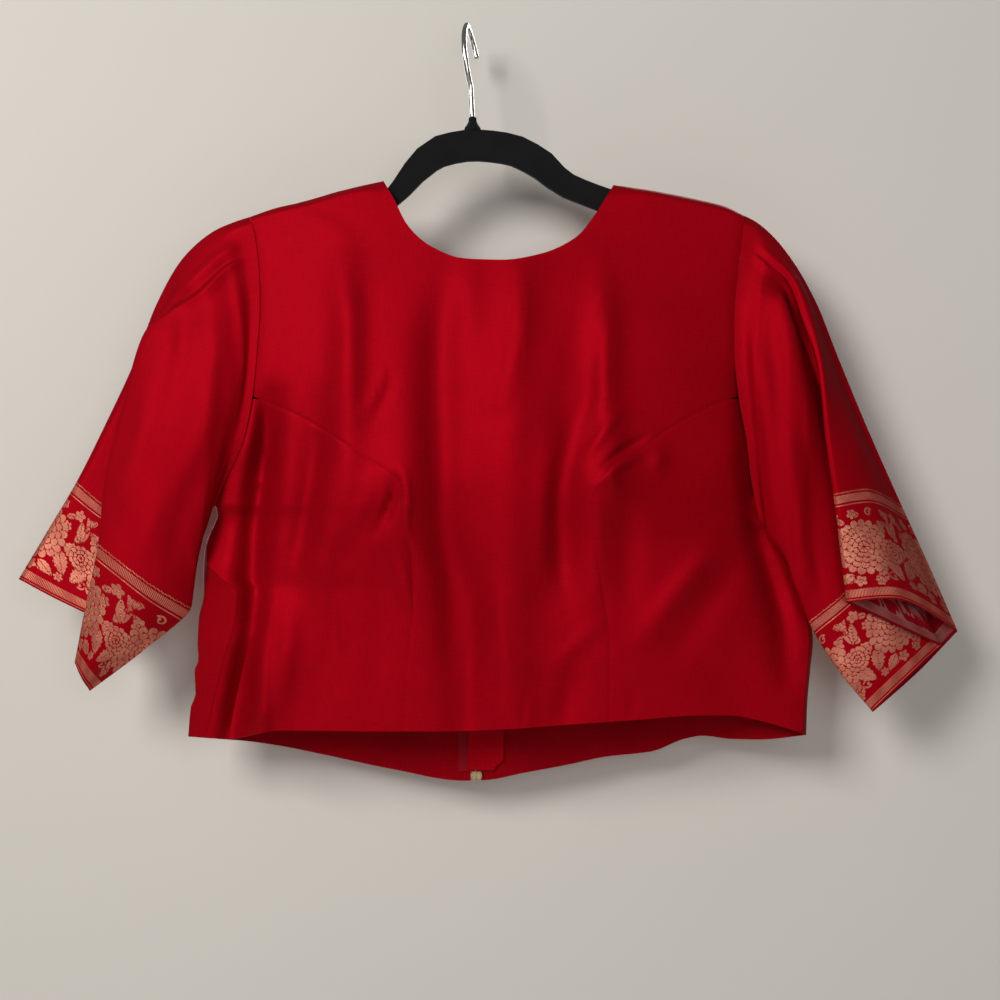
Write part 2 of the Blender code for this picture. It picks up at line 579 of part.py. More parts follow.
def section_ring(section, radius):
    """A closed curve through a section's points, rounded at its folds."""
    points = []
    counts = []
    total = len(section)
    for i in range(total):
        if i in FOLDS:
            points += turned_fold(section[i - 1], section[i], section[(i + 1) % total], radius)
            counts += [1, 1, SEGMENT_COUNTS[i]]
        else:
            points.append(tuple(section[i]))
            counts.append(SEGMENT_COUNTS[i])
    total = len(points)
    gaps = [math.dist(points[i], points[(i + 1) % total]) for i in range(total)]
    ring = []
    for i in range(total):
        j = (i + 1) % total
        a, b = points[i], points[j]
        gap = gaps[i]
        start = slope_at(points, gaps, i)
        end = slope_at(points, gaps, j)
        start_pull = min(gap, 2.0 * gaps[i - 1])
        end_pull = min(gap, 2.0 * gaps[j])
        for k in range(counts[i]):
            t = k / counts[i]
            ring.append(tuple(
                a[c] * (2 * t**3 - 3 * t**2 + 1) + start[c] * start_pull * (t**3 - 2 * t**2 + t)
                + b[c] * (3 * t**2 - 2 * t**3) + end[c] * end_pull * (t**3 - t**2)
                for c in range(3)))
    return ring[1:] + ring[:1]


def slope_at(points, gaps, i):
    """Direction of a closed curve at one of its points, by the lengths on both sides."""
    before, after = gaps[i - 1], gaps[i]
    last, here, following = points[i - 1], points[i], points[(i + 1) % len(points)]
    return [
        ((here[c] - last[c]) / before * after + (following[c] - here[c]) / after * before)
        / (before + after)
        for c in range(3)]


def sleeve_stations(sections, left):
    """Every section's points as rings, with the armhole as the first."""
    rings = [section_ring(section, radius) for section, radius in zip(sections, FOLD_RADII)]
    first = rings[0]
    lengths = [0.0]
    for a, b in zip(first, first[1:] + first[:1]):
        lengths.append(lengths[-1] + math.dist(a, b))
    bottom = min(range(len(first)), key=lambda i: math.dist(first[i], sections[0][6]))
    half = lengths[bottom]
    fractions = [
        0.5 * length / half if length <= half else 0.5 + 0.5 * (length - half) / (lengths[-1] - half)
        for length in lengths[:-1]]
    armhole = armhole_ring(left, fractions)
    # The sleeve leaves the armhole level with the body, then fills out.
    away = -LEVEL_REACH if left else LEVEL_REACH
    level = [
        (mix(a[0], b[0], LEVEL_STEP) + away, mix(a[1], b[1], LEVEL_STEP), mix(a[2], b[2], 0.04))
        for a, b in zip(armhole, first)]
    return [(0.0, armhole), (LEVEL_STEP, level)] + [(k + 1.0, ring) for k, ring in enumerate(rings)]


def sleeve_grid(stations, steps):
    """Rows of a sleeve at the given places along its stations."""
    grid = []
    for step in steps:
        row = []
        for i in range(len(stations[0][1])):
            table = [(place, *ring[i]) for place, ring in stations]
            row.append(at(*smooth(table, step)))
        grid.append(row)
    return grid


def collection(name):
    found = bpy.data.collections.new(name)
    bpy.context.scene.collection.children.link(found)
    return found


def material(name, colour, roughness, metallic=0.0):
    made = bpy.data.materials.new(name)
    made.use_nodes = True
    shader = made.node_tree.nodes["Principled BSDF"]
    shader.inputs["Base Color"].default_value = (*colour, 1.0)
    shader.inputs["Roughness"].default_value = roughness
    shader.inputs["Metallic"].default_value = metallic
    return made


def cloth_wall(name, grid, closed, wall, look, flip=False):
    """A wall of cloth from rows of points; the points are its outer face."""
    mesh = bpy.data.meshes.new(name)
    build = bmesh.new()
    rows = [[build.verts.new(point) for point in row] for row in grid]
    count = len(rows[0])
    for upper, lower in zip(rows, rows[1:]):
        for i in range(count if closed else count - 1):
            j = (i + 1) % count
            corners = [upper[i], lower[i], lower[j], upper[j]]
            build.faces.new(list(reversed(corners)) if flip else corners)
    build.to_mesh(mesh)
    build.free()
    mesh.shade_smooth()
    mesh.materials.append(look)
    piece = bpy.data.objects.new(name, mesh)
    PIECES.objects.link(piece)
    solid = piece.modifiers.new("Wall", "SOLIDIFY")
    solid.thickness = wall / 1000.0
    solid.offset = -1.0
    solid.use_even_offset = False
    return piece


def flat_piece(name, outline, centre, half, look, bevel):
    """A flat outline in X and Z about its centre, thick to both sides, with eased edges."""
    data = bpy.data.curves.new(name, "CURVE")
    data.dimensions = "2D"
    data.fill_mode = "BOTH"
    data.extrude = half / 1000.0
    for loop in outline:
        line = data.splines.new("POLY")
        line.points.add(len(loop) - 1)
        for point, (x, z) in zip(line.points, loop):
            point.co = (x, z, 0.0, 1.0)
        line.use_cyclic_u = True
    data.materials.append(look)
    piece = bpy.data.objects.new(name, data)
    piece.rotation_euler = (math.pi / 2.0, 0.0, 0.0)
    piece.location = centre
    PIECES.objects.link(piece)
    weld = piece.modifiers.new("Weld", "WELD")
    weld.merge_threshold = 0.00001
    ease_edge = piece.modifiers.new("Edge", "BEVEL")
    ease_edge.width = bevel / 1000.0
    ease_edge.segments = 2
    ease_edge.limit_method = "ANGLE"
    ease_edge.angle_limit = math.radians(50.0)
    return piece


def hanger_outline():
    """The bar's outline in metres from the hook's crown."""
    top = []
    low = []
    steps = 44
    for k in range(steps + 1):
        u = mix(HANGER_BAR[0][0], HANGER_BAR[-1][0], k / steps)
        v, half = smooth(HANGER_BAR, u)
        v2 = smooth(HANGER_BAR, u + 1.0)[0]
        v1 = smooth(HANGER_BAR, u - 1.0)[0]
        run = 2.0 if 0 < k < steps else 1.0
        tilt = math.atan2(v2 - v1, run)
        upper = at(u + half * math.sin(tilt), v - half * math.cos(tilt), 0.0)
        lower = at(u - half * math.sin(tilt), v + half * math.cos(tilt), 0.0)
        top.append((upper.x, upper.z))
        low.append((lower.x, lower.z))
    left = at(HANGER_BAR[0][0] - 6.0, HANGER_BAR[0][1] + 3.0, 0.0)
    right = at(HANGER_BAR[-1][0] + 6.0, HANGER_BAR[-1][1] + 4.0, 0.0)
    return top + [(right.x, right.z)] + list(reversed(low)) + [(left.x, left.z)]


def wire(name, points, radius, look):
    data = bpy.data.curves.new(name, "CURVE")
    data.dimensions = "3D"
    data.bevel_depth = radius / 1000.0
    data.bevel_resolution = 2
    data.use_fill_caps = True
    line = data.splines.new("POLY")
    line.points.add(len(points) - 1)
    for point, place in zip(line.points, points):
        point.co = (*place, 1.0)
    data.materials.append(look)
    piece = bpy.data.objects.new(name, data)
    PIECES.objects.link(piece)
    weld = piece.modifiers.new("Weld", "WELD")
    weld.merge_threshold = 0.00001
    return piece


def turned(name, profile, centre, look, sides=20):
    """A profile of (height, radius) turned round an upright axis."""
    mesh = bpy.data.meshes.new(name)
    build = bmesh.new()
    points = [(0.0, profile[-1][0])] + [(r, h) for h, r in reversed(profile)] + [(0.0, profile[0][0])]
    verts = [build.verts.new((r / 1000.0, 0.0, h / 1000.0)) for r, h in points]
    for a, b in zip(verts, verts[1:]):
        build.edges.new((a, b))
    build.to_mesh(mesh)
    build.free()
    mesh.materials.append(look)
    piece = bpy.data.objects.new(name, mesh)
    piece.location = centre
    PIECES.objects.link(piece)
    screw = piece.modifiers.new("Turn", "SCREW")
    screw.steps = sides
    screw.render_steps = sides
    screw.use_merge_vertices = True
    screw.merge_threshold = 0.00001
    return piece


def settle(piece, name, home, look=None):
    """Names a new piece and moves it to its collection."""
    piece.name = name
    piece.data.name = name
    for old_home in list(piece.users_collection):
        old_home.objects.unlink(piece)
    home.objects.link(piece)
    if look:
        piece.data.materials.append(look)


def block(name, centre, size, look, bevel):
    bpy.ops.mesh.primitive_cube_add(size=1.0, location=centre)
    piece = bpy.context.object
    piece.scale = [side / 1000.0 for side in size]
    bpy.ops.object.transform_apply(location=False, rotation=False, scale=True)
    settle(piece, name, PIECES, look)
    round_off = piece.modifiers.new("Edge", "BEVEL")
    round_off.width = bevel / 1000.0
    round_off.segments = 2
    return piece


def cross_rod(name, centre, radius, length):
    """A cutter: a rod along X."""
    bpy.ops.mesh.primitive_cylinder_add(
        vertices=16, radius=radius / 1000.0, depth=length / 1000.0, location=centre,
        rotation=(0.0, math.pi / 2.0, 0.0))
    rod = bpy.context.object
    settle(rod, name, CUTTERS)
    rod.hide_render = True
    rod.display_type = "WIRE"
    return rod


def zip_strip(name, edges, ends, inset, look, corner=0.0):
    """A strip of cloth inside the back's centre; its lower right corner can be rounded."""
    straight_end = ends[1] - corner
    places = [mix(ends[0], straight_end, k / 13.0) for k in range(14)]
    if corner:
        places += [straight_end + corner * math.sin(turn) for turn in (0.4, 0.8, 1.2, math.pi / 2.0)]
    grid = []
    for v in places:
        below = max(v - straight_end, 0.0)
        right = edges[1] - corner + math.sqrt(max(corner**2 - below**2, 0.0))
        row = [edges[0], mix(edges[0], right, 0.5), right]
        grid.append([at(u, v, back_y(u, v) - inset) for u in row])
    return cloth_wall(name, grid, False, TAPE_WALL, look, flip=True)


def tab_outline():
    """The pull tab below its hinge, with the slot under its top bar."""
    half_bar = TAB_BAR / 2.0
    wide = TAB_HALF_WIDTH
    foot = -TAB_LENGTH + wide
    outer = [(wide, half_bar), (-wide, half_bar), (-wide, foot)]
    for k in range(1, 8):
        turn = math.pi + math.pi * k / 8.0
        outer.append((wide * math.cos(turn), foot + wide * math.sin(turn)))
    outer.append((wide, foot))
    slot_half = TAB_SLOT[0] / 2.0
    slot_low = -half_bar - TAB_SLOT[1]
    slot = [(slot_half, -half_bar), (-slot_half, -half_bar), (-slot_half, slot_low), (slot_half, slot_low)]
    return [[(x / 1000.0, z / 1000.0) for x, z in loop] for loop in (outer, slot)]


for old in list(bpy.data.objects):
    bpy.data.objects.remove(old)

PIECES = collection("choli_blouse")
CUTTERS = collection("cutters")

RED = material("red_silk", (0.30, 0.004, 0.010), 0.42)
BORDER = material("zari_band", (0.58, 0.16, 0.09), 0.38, 0.25)
TAPE = material("zip_tape", (0.22, 0.004, 0.008), 0.8)
BRASS = material("zip_metal", (0.45, 0.36, 0.20), 0.35, 1.0)
VELVET = material("velvet", (0.006, 0.006, 0.007), 0.95)
CHROME = material("hook_metal", (0.62, 0.61, 0.60), 0.18, 1.0)

cloth_wall("front_centre", front_centre_grid(), False, SILK, RED)
cloth_wall("front_side_left", front_side_grid(True), False, SILK, RED)
cloth_wall("front_side_right", front_side_grid(False), False, SILK, RED, flip=True)
cloth_wall("back_left", back_grid(True), False, SILK, RED, flip=True)
cloth_wall("back_right", back_grid(False), False, SILK, RED)

for side, sections, left in (("left", SLEEVE_LEFT, True), ("right", SLEEVE_RIGHT, False)):
    stations = sleeve_stations(sections, left)
    cloth_wall("sleeve_" + side, sleeve_grid(stations, SLEEVE_STEPS), True, SILK, RED, flip=not left)
    cloth_wall("sleeve_band_" + side, sleeve_grid(stations, BAND_STEPS), True, BAND_WALL, BORDER,
               flip=not left)

tape_inset = SILK + INSIDE_GAP
guard_inset = tape_inset + TAPE_WALL + INSIDE_GAP
zip_strip("zip_tape_left", (ZIP_U - TAPE_WIDTH, ZIP_U - 0.3), TAPE_ENDS, tape_inset, TAPE)
zip_strip("zip_tape_right", (ZIP_U + 0.3, ZIP_U + TAPE_WIDTH), TAPE_ENDS, tape_inset, TAPE)
zip_strip("zip_guard", GUARD_EDGES, GUARD_ENDS, guard_inset, RED, GUARD_CORNER)
box_y = back_y(*BOX_PLACE) - tape_inset - BOX_SIZE[1] / 2.0
block("zip_box", at(*BOX_PLACE, box_y), BOX_SIZE, BRASS, 0.4)

slider_y = back_y(ZIP_U, SLIDER_V) + INSIDE_GAP + SLIDER_SIZE[1] / 2.0
slider_centre = at(ZIP_U, SLIDER_V, slider_y)
tab_hinge = slider_centre + Vector((0.0, SLIDER_SIZE[1] / 2.0 + BRIDGE_REACH, 0.0)) / 1000.0
slider = block("zip_slider", slider_centre, SLIDER_SIZE, BRASS, 0.35)
for operation, radius, length in (
    ("UNION", BRIDGE_RADIUS, BRIDGE_WIDTH),
    ("DIFFERENCE", BRIDGE_HOLE, 2.0 * BRIDGE_WIDTH),
):
    cut = slider.modifiers.new("Bridge", "BOOLEAN")
    cut.operation = operation
    cut.solver = "EXACT"
    cut.object = cross_rod("bridge_" + operation.lower(), tab_hinge, radius, length)
flat_piece("zip_pull_tab", tab_outline(), tab_hinge, TAB_THICKNESS / 2.0, BRASS, 0.18)

flat_piece("hanger_bar", [hanger_outline()], (0.0, at(EYE_U, EYE_V, 0.0).y, 0.0), HANGER_HALF, VELVET, 1.1)
turned("hanger_collar", COLLAR, at(*COLLAR_PLACE), CHROME)
wire("hanger_hook", [at(*point) for point in HOOK], WIRE_RADIUS, CHROME)
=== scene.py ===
import math

import bpy
import numpy as np
from mathutils import Matrix, Vector


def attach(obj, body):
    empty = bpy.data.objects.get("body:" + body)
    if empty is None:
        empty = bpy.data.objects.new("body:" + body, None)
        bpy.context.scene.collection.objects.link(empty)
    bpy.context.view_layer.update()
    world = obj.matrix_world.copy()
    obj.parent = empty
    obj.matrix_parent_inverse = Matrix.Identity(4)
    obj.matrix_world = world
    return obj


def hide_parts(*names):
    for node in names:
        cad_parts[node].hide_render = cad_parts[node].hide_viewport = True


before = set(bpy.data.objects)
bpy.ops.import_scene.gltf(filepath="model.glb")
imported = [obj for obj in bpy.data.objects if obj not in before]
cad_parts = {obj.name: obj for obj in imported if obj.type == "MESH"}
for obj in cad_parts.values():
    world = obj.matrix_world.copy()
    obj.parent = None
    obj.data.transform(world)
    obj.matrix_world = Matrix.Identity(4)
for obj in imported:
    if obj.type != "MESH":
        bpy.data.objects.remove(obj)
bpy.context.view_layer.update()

# A red silk choli blouse on a velvet hanger, front to -Y. The cloth's sizes are measured on
# the front view: u to the right and v down in units of UNIT, and y in millimetres behind
# the hanger's plane.
UNIT = 0.755
EYE_U = 500.0
EYE_V = 500.0
EYE_DISTANCE = 1100.0
CROWN = (466.8, 27.6, 17.0)

SILK = 1.0          # wall of the silk, millimetres
TAPE_WALL = 1.0     # wall of the zip's tapes and its guard
SIDE_LAP = 2.0      # how far the back lies behind the front at the side seam, millimetres
ARM_SEAM = 0.15     # gap along the curved armhole seams, in view units

WIRE_RADIUS = 1.9   # hook's wire, millimetres

# Shoulder line, from the armhole to the neck: u, v.
SHOULDER_LEFT = [(249.7, 217.0), (277.0, 208.0), (306.0, 201.5), (351.0, 188.5), (383.5, 181.0)]
SHOULDER_RIGHT = [(613.5, 185.0), (653.0, 191.0), (691.0, 198.5), (723.0, 206.0), (745.0, 216.0)]

# Front neckline, left to right: u, v.
NECK = [
    (383.5, 181.0), (394.0, 199.0), (407.4, 224.8), (430.4, 245.8), (464.8, 258.3), (503.0, 259.6),
    (541.0, 253.5), (575.7, 237.2), (595.0, 214.3), (613.5, 185.0),
]

# Armhole seams, top to bottom: v, u.
ARMHOLE_LEFT = [
    (217.0, 249.7), (236.0, 255.0), (271.0, 259.0), (303.0, 260.0), (351.0, 257.0), (396.0, 252.5),
    (440.0, 243.5), (459.0, 236.0), (485.0, 223.5), (505.0, 215.5),
]
ARMHOLE_RIGHT = [
    (216.0, 745.0), (241.0, 741.5), (275.0, 737.7), (318.0, 734.2), (348.0, 734.2), (396.0, 738.5),
    (440.0, 746.5), (481.5, 751.6), (505.0, 756.0), (521.0, 761.0),
]

# Bust seams, from the armhole to the bust point and down to the hem: v, u.
BUST_SEAM_LEFT = [
    (396.0, 252.5), (404.5, 273.7), (415.5, 298.7), (428.7, 322.0), (442.0, 342.6), (455.0, 363.0),
    (466.0, 380.0), (476.0, 393.5), (486.0, 400.8), (516.0, 400.0), (538.6, 406.5), (557.7, 411.0),
    (605.0, 413.0), (675.0, 406.6), (745.0, 403.0),
]
BUST_SEAM_RIGHT = [
    (396.0, 738.5), (404.5, 714.0), (415.5, 692.0), (428.7, 669.0), (442.0, 650.5), (455.0, 634.5),
    (466.0, 621.5), (476.0, 609.5), (486.0, 599.0), (508.0, 592.0), (553.7, 596.7), (595.0, 603.6),
    (645.5, 609.8), (745.0, 608.0),
]

# Side seams below the armholes: v, u, y.
SIDE_SEAM_LEFT = [
    (505.0, 215.5, -7.0), (509.0, 217.0, -5.0), (515.0, 218.0, -2.0), (524.0, 215.5, 0.0),
    (534.0, 211.0, 0.5), (548.0, 207.0, -1.0), (562.0, 207.5, -6.0), (577.0, 220.0, -15.0),
    (592.0, 236.5, -19.0), (623.0, 234.0, -16.0), (657.0, 224.5, -13.0), (691.0, 216.0, -10.0),
    (745.0, 204.5, -8.0),
]
SIDE_SEAM_RIGHT = [
    (521.0, 761.0, -6.0), (525.0, 764.5, -3.0), (531.0, 766.5, 1.0), (540.0, 770.0, 2.0),
    (552.0, 780.0, 2.0), (566.0, 787.0, 2.0), (580.0, 793.0, 2.0), (610.0, 804.5, 0.0),
    (640.0, 809.0, -4.0), (672.0, 807.0, -6.0), (708.0, 804.0, -7.0), (745.0, 802.0, -8.0),
]

# Body edges, where the back turns round to meet the side seam: v, u.
BODY_EDGE_LEFT = [
    (505.0, 216.0), (509.0, 217.5), (515.0, 218.5), (524.0, 215.5), (534.0, 210.5), (548.0, 206.0),
    (563.0, 204.5), (596.0, 204.5), (617.0, 200.0),
    (645.0, 198.5), (659.0, 199.5), (671.0, 195.5), (694.0, 196.5), (707.0, 191.8), (745.0, 188.5),
]
BODY_EDGE_RIGHT = [
    (521.0, 761.5), (525.0, 765.0), (531.0, 767.0), (540.0, 770.5), (552.0, 780.5), (566.0, 788.0),
    (580.0, 794.0), (610.0, 806.0), (640.0, 812.0), (672.0, 809.0),
    (708.0, 806.0), (745.0, 805.0),
]

# Hems: u, v.
FRONT_HEM = [
    (206.0, 737.0), (225.0, 739.4), (253.8, 734.7), (279.5, 730.6), (379.0, 731.4), (440.0, 731.4),
    (504.8, 729.3), (560.0, 725.3), (632.0, 720.3), (702.6, 715.5), (731.0, 715.5), (754.0, 719.3),
    (779.0, 726.0), (804.0, 733.7),
]
BACK_HEM = [
    (189.0, 736.5), (228.0, 739.4), (243.0, 740.5), (279.5, 745.5), (321.0, 753.8), (395.6, 769.6),
    (463.8, 780.6), (485.0, 780.0), (522.7, 773.0), (568.7, 764.3), (605.0, 756.6), (651.0, 751.4),
    (685.0, 738.5), (702.6, 735.5), (731.0, 738.8), (760.0, 739.4), (806.0, 735.0),
]

# Back neck, a deep round one: v, u of its left side and u of its right side.
BACK_NECK = [
    (181.0, 378.0, 619.0), (215.0, 372.0, 625.0), (260.0, 368.0, 629.0), (310.0, 371.0, 626.0),
    (350.0, 381.0, 616.0), (385.0, 400.0, 596.0), (410.0, 425.0, 560.0), (424.0, 448.0, 520.0),
    (430.0, 470.6, 480.8),
]
BACK_NECK_BOTTOM = 430.0
ZIP_U = 475.7
ZIP_HALF_GAP = 5.1       # half the gap between the back edges, view units
TAPE_WIDTH = 17.5        # width of one tape, view units
TAPE_ENDS = (432.0, 771.2)
GUARD_EDGES = (468.0, 503.5)
GUARD_ENDS = (434.0, 770.0)
GUARD_CORNER = 12.0
INSIDE_GAP = 0.4         # between the layers at the zip, millimetres
BOX_PLACE = (476.35, 775.5)
BOX_SIZE = (8.5, 2.2, 5.7)

# Front folds: (v, u) along the fold, height toward the viewer in millimetres,
# half width in view units, and the v where it fades in and out.
FRONT_FOLDS = [
    ("side valley", [(400, 262), (520, 258), (632, 247), (745, 228)], -11.0, 17.0, 430, 900),
    ("side crest", [(600, 272), (657, 262), (745, 261)], 9.0, 9.0, 640, 900),
    ("left trough", [(430, 316), (590, 292)], -5.0, 17.0, 430, 590),
    ("left ridge", [(260, 340), (433, 348), (502, 342), (560, 322)], 5.0, 16.0, 280, 560),
    ("centre valley", [(300, 440), (517, 440), (600, 462), (745, 466)], -8.0, 24.0, 330, 900),
    ("centre ridge", [(260, 520), (500, 512), (745, 516)], 5.0, 20.0, 280, 900),
    ("right valley", [(390, 586), (480, 568), (560, 566)], -5.0, 14.0, 400, 570),
    ("right ridge", [(290, 602), (480, 614)], 4.0, 15.0, 300, 470),
    ("hem roll", [(600, 735), (745, 742)], -4.0, 38.0, 660, 900),
]

# Sleeve sections from the shoulder seam's side to the hem. Each row holds the
# points round one section as (u, v, y): the outer edge, the layer behind it,
# the two turns of the long fold, two points of the layer nearest the body, the
# underarm edge and the back. Row 6 is the border's seam and row 8 is the hem.
SLEEVE_LEFT = [
    [(214, 231, 0), (222, 246, -9), (226, 258, -12), (230, 272, -15), (237, 304, -19),
     (242, 368, -22), (209, 521, -7), (231, 440, 11)],
    [(183, 258, 0), (190, 273, -10), (195, 285, -14), (200, 300, -18), (210, 332, -23),
     (221, 392, -27), (203.5, 537, -12), (220, 450, 13)],
    [(157, 303, 2), (160, 309, -2), (165, 318, -7), (148, 327, -15), (172, 352, -25),
     (197, 415, -31), (200, 551, -15), (203, 465, 15)],
    [(133, 365, 3), (137, 374, -1), (150, 394, -7), (121.5, 409, -19), (147, 435, -29),
     (176, 480, -32), (197, 566, -16), (181, 490, 16)],
    [(106, 423, 4), (116, 434, 0), (140, 458, -6), (104.5, 480, -22), (129, 503, -31),
     (164, 537, -32), (194.5, 585, -14), (156, 520, 16)],
    [(77, 481, 4), (95, 497, 0), (136, 528, -5), (98, 543, -23), (122, 562, -31),
     (155, 586, -30), (191.5, 607, -12), (138, 556, 16)],
    [(48, 530, 4), (70, 545, 0), (136, 584, -5), (85, 608, -23), (100, 621, -29),
     (122, 637, -27), (143, 651, -12), (112, 590, 16)],
    [(18.6, 579, 2), (50, 596, -2), (128, 633, -9), (74.6, 662, -20), (78, 671, -24),
     (83, 681, -22), (90, 691, -12), (98, 618, 15)],
]
SLEEVE_RIGHT = [
    [(771, 234, 0), (770, 248, -9), (768, 258, -12), (766, 270, -14), (762, 294, -18),
     (756, 360, -24), (767, 537, -7), (759, 440, 11)],
    [(793, 261, 0), (794, 272, -9), (792, 281, -14), (787, 286, -8), (780, 295, -19),
     (770, 380, -28), (779, 551, -13), (778, 455, 13)],
    [(816, 302, 1), (813, 307, -8), (804.5, 316, -17), (802, 324, -5), (794, 324, -22),
     (788, 415, -30), (787, 564, -16), (799, 465, 15)],
    [(838, 357, 2), (830, 363, -12), (818.5, 370, -25), (823, 382, -7), (809, 384, -22),
     (804, 452, -27), (791, 578, -16), (818, 485, 16)],
    [(866, 425, 2), (850, 426, -18), (825, 436, -30), (853, 462, -9), (832, 482, -17),
     (814, 530, -21), (799, 598, -15), (842, 510, 16)],
    [(901, 504, 2), (868, 488, -24), (833, 493, -31), (884, 556, -9), (860, 578, -16),
     (835, 600, -19), (808, 621, -13), (866, 540, 17)],
    [(931, 570, 2), (884, 545, -27), (839.8, 549, -31), (914, 601, -9), (888, 625, -16),
     (864, 646, -19), (837, 669, -13), (896, 612, 17)],
    [(957.5, 631, 0), (899, 599.5, -30), (846, 602.5, -30), (941, 646, -9), (918, 668, -15),
     (896, 689, -17), (872.5, 712, -12), (922, 668, 12)],
]
FOLDS = (0, 2, 3, 6)     # the points of a section where the cloth turns back on itself
# Radius of the turns at each section, in millimetres.
FOLD_RADII = (4.5, 4.5, 3.6, 3.0, 2.8, 2.6, 2.6, 2.6)
SEGMENT_COUNTS = (2, 2, 3, 3, 3, 4, 6, 4)
BAND_ROW = 6
LEVEL_STEP = 0.3
LEVEL_REACH = 2.5        # view units

# Hook's wire: u, v, y.
HOOK = [
    (472.4, 117.6, 0), (471.8, 108, 0), (471.2, 96, 0), (470.6, 86, -0.5), (469.2, 80, -2),
    (467.2, 70, -4.5), (465.4, 58, -6), (464.2, 46, -5), (464.1, 36, 0.5), (465.2, 28.4, 8),
    (466.8, 25.1, 17), (468.4, 28.4, 26), (470.8, 36, 33.5), (473.0, 43, 37), (475.0, 51, 38.5),
    (476.6, 58, 38.5),
]

SHOULDER_GAP = 0.03      # half the gap at the shoulder seam, millimetres
# Depth of the front's edges where it meets the sleeves: v, y.
FRONT_ARM_DEPTH = [
    (181.0, -5.2), (240.0, -7.5), (300.0, -13.0), (380.0, -18.0), (440.0, -17.0), (480.0, -11.0),
    (505.0, -7.0), (521.0, -6.0),
]
# Depth that the front's middle is measured from: v, y.
FRONT_DEPTH = [
    (181.0, -5.2), (240.0, -7.5), (300.0, -12.5), (380.0, -17.0), (440.0, -15.5), (521.0, -11.5),
    (620.0, -8.0), (745.0, -6.0),
]
BACK_ARM_DEPTH = [(181.0, 5.2), (240.0, 7.0), (300.0, 10.0), (440.0, 11.0), (480.0, 9.0), (521.0, 6.0)]
WRAP = 4.0               # how far below the shoulder line the cloth reaches its depth, millimetres
NECK_WRAP = 5.0          # added to it at the neck's corners
# The front's fullness down the body: v, y at the middle, y over the bust.
FRONT_FULLNESS = [
    (181.0, 5.0, 0.0), (260.0, 13.0, 0.0), (360.0, 22.0, 3.0), (440.0, 26.0, 9.0),
    (490.0, 27.0, 11.0), (580.0, 26.0, 5.0), (745.0, 24.0, 2.0),
]
BUST_POINTS = [(404.0, 487.0), (594.0, 487.0)]
BUST_RADIUS = 62.0
BUST_SQUASH = 0.8        # height of the bust's fullness against its width
FRONT_ROUNDING = 2.6     # how late the front turns toward its edges
EDGE_HOLD = 7            # how close to its edges the front leaves their depth
EDGE_FADE = 26.0         # width over which folds die out at the body's edges, view units
FOLD_IN = (70.0, 30.0)   # a fold grows from this far above its start to this far below it
FOLD_OUT = (20.0, 70.0)  # and dies out in the same way about its end
CORNER_REACH = 14.0      # reach of the neck corners' rounding, view units
BACK_ROUNDING = 5.0
BACK_FULLNESS = [(181.0, 1.0), (260.0, 5.0), (430.0, 8.0), (560.0, 15.0), (745.0, 18.0)]
WAVE_HEIGHT = 2.2        # loose waves of the back's lower half, millimetres
WAVE_START = 330.0
WAVE_LENGTH = 46.0       # view units a radian
WAVE_RISE = (560.0, 740.0)
ZIP_FLAT = 40.0          # the zip holds the back flat this far round it, view units
SIDE_TOP_V = 399.0       # top row of the side fronts
SEAM_DIPS = {"bust": (1.8, 0.45), "front arm": (2.4, 1.0), "back arm": (2.2, 0.8)}
# Each dip along a seam: half width in view units, depth in millimetres.


def finer(values, count=4):
    """The same values with more between them."""
    made = []
    for a, b in zip(values, values[1:]):
        made += [a + (b - a) * k / count for k in range(count)]
    return made + [values[-1]]


# Rows and columns of the body's pieces.
SHOULDER_COLUMNS = 24
NECK_SHARES = finer(
    (0.0, 0.018, 0.06, 0.13, 0.23, 0.34, 0.45, 0.56, 0.67, 0.78, 0.87, 0.94, 0.982, 1.0))[1:-1]
YOKE_ROWS = finer((0.0, 0.006, 0.02, 0.05, 0.12, 0.24, 0.4, 0.58, 0.78, 1.0), 5)
YOKE_V = 396.0
SEAM_ROWS = finer((YOKE_V, 404.5, 415.5, 428.7, 442.0, 455.0, 466.0, 476.0))[1:]
SKIRT_ROWS = finer((
    0.0, 0.04, 0.075, 0.111, 0.143, 0.1746, 0.25, 0.33, 0.387, 0.444, 0.54, 0.64, 0.74, 0.84, 0.93,
    1.0))[1:]
SIDE_COLUMNS = 44
BACK_ROWS = finer((0.0, 0.006, 0.02, 0.05, 0.12, 0.24, 0.38, 0.54, 0.7, 0.84, 0.93, 1.0))
BACK_COLUMNS = 52
TURN_COLUMNS = 12
BACK_YOKE_V = 442.0      # v of the armhole's edge at the last row over the zip's top
TURN_WIDTH = 15.0        # how far in from the body's edge the turn ends, view units

# How finely the sleeves and borders are drawn.
ARM_SPLIT = 4
BAND_SPLIT = 12
BAND_COLUMNS = 400
BAND_LINES = 150
REVERSE_LINES = 14
SILK_SHOWN = 0.7         # thickness of the cloth that shows, millimetres
BAND_DEPTH = 90.0        # border from its seam to the hem, millimetres
HEAD_LINES = 12          # rows of a sleeve's head, then of its length down to the border
SLEEVE_LINES = 56
SMOOTH_ANGLE = 50.0      # sharper edges than this, as along a cut edge, stay sharp
SLEEVE_TOP_V = 217.0
STRIP_ROWS = 120         # rows of the zip's tapes and guard

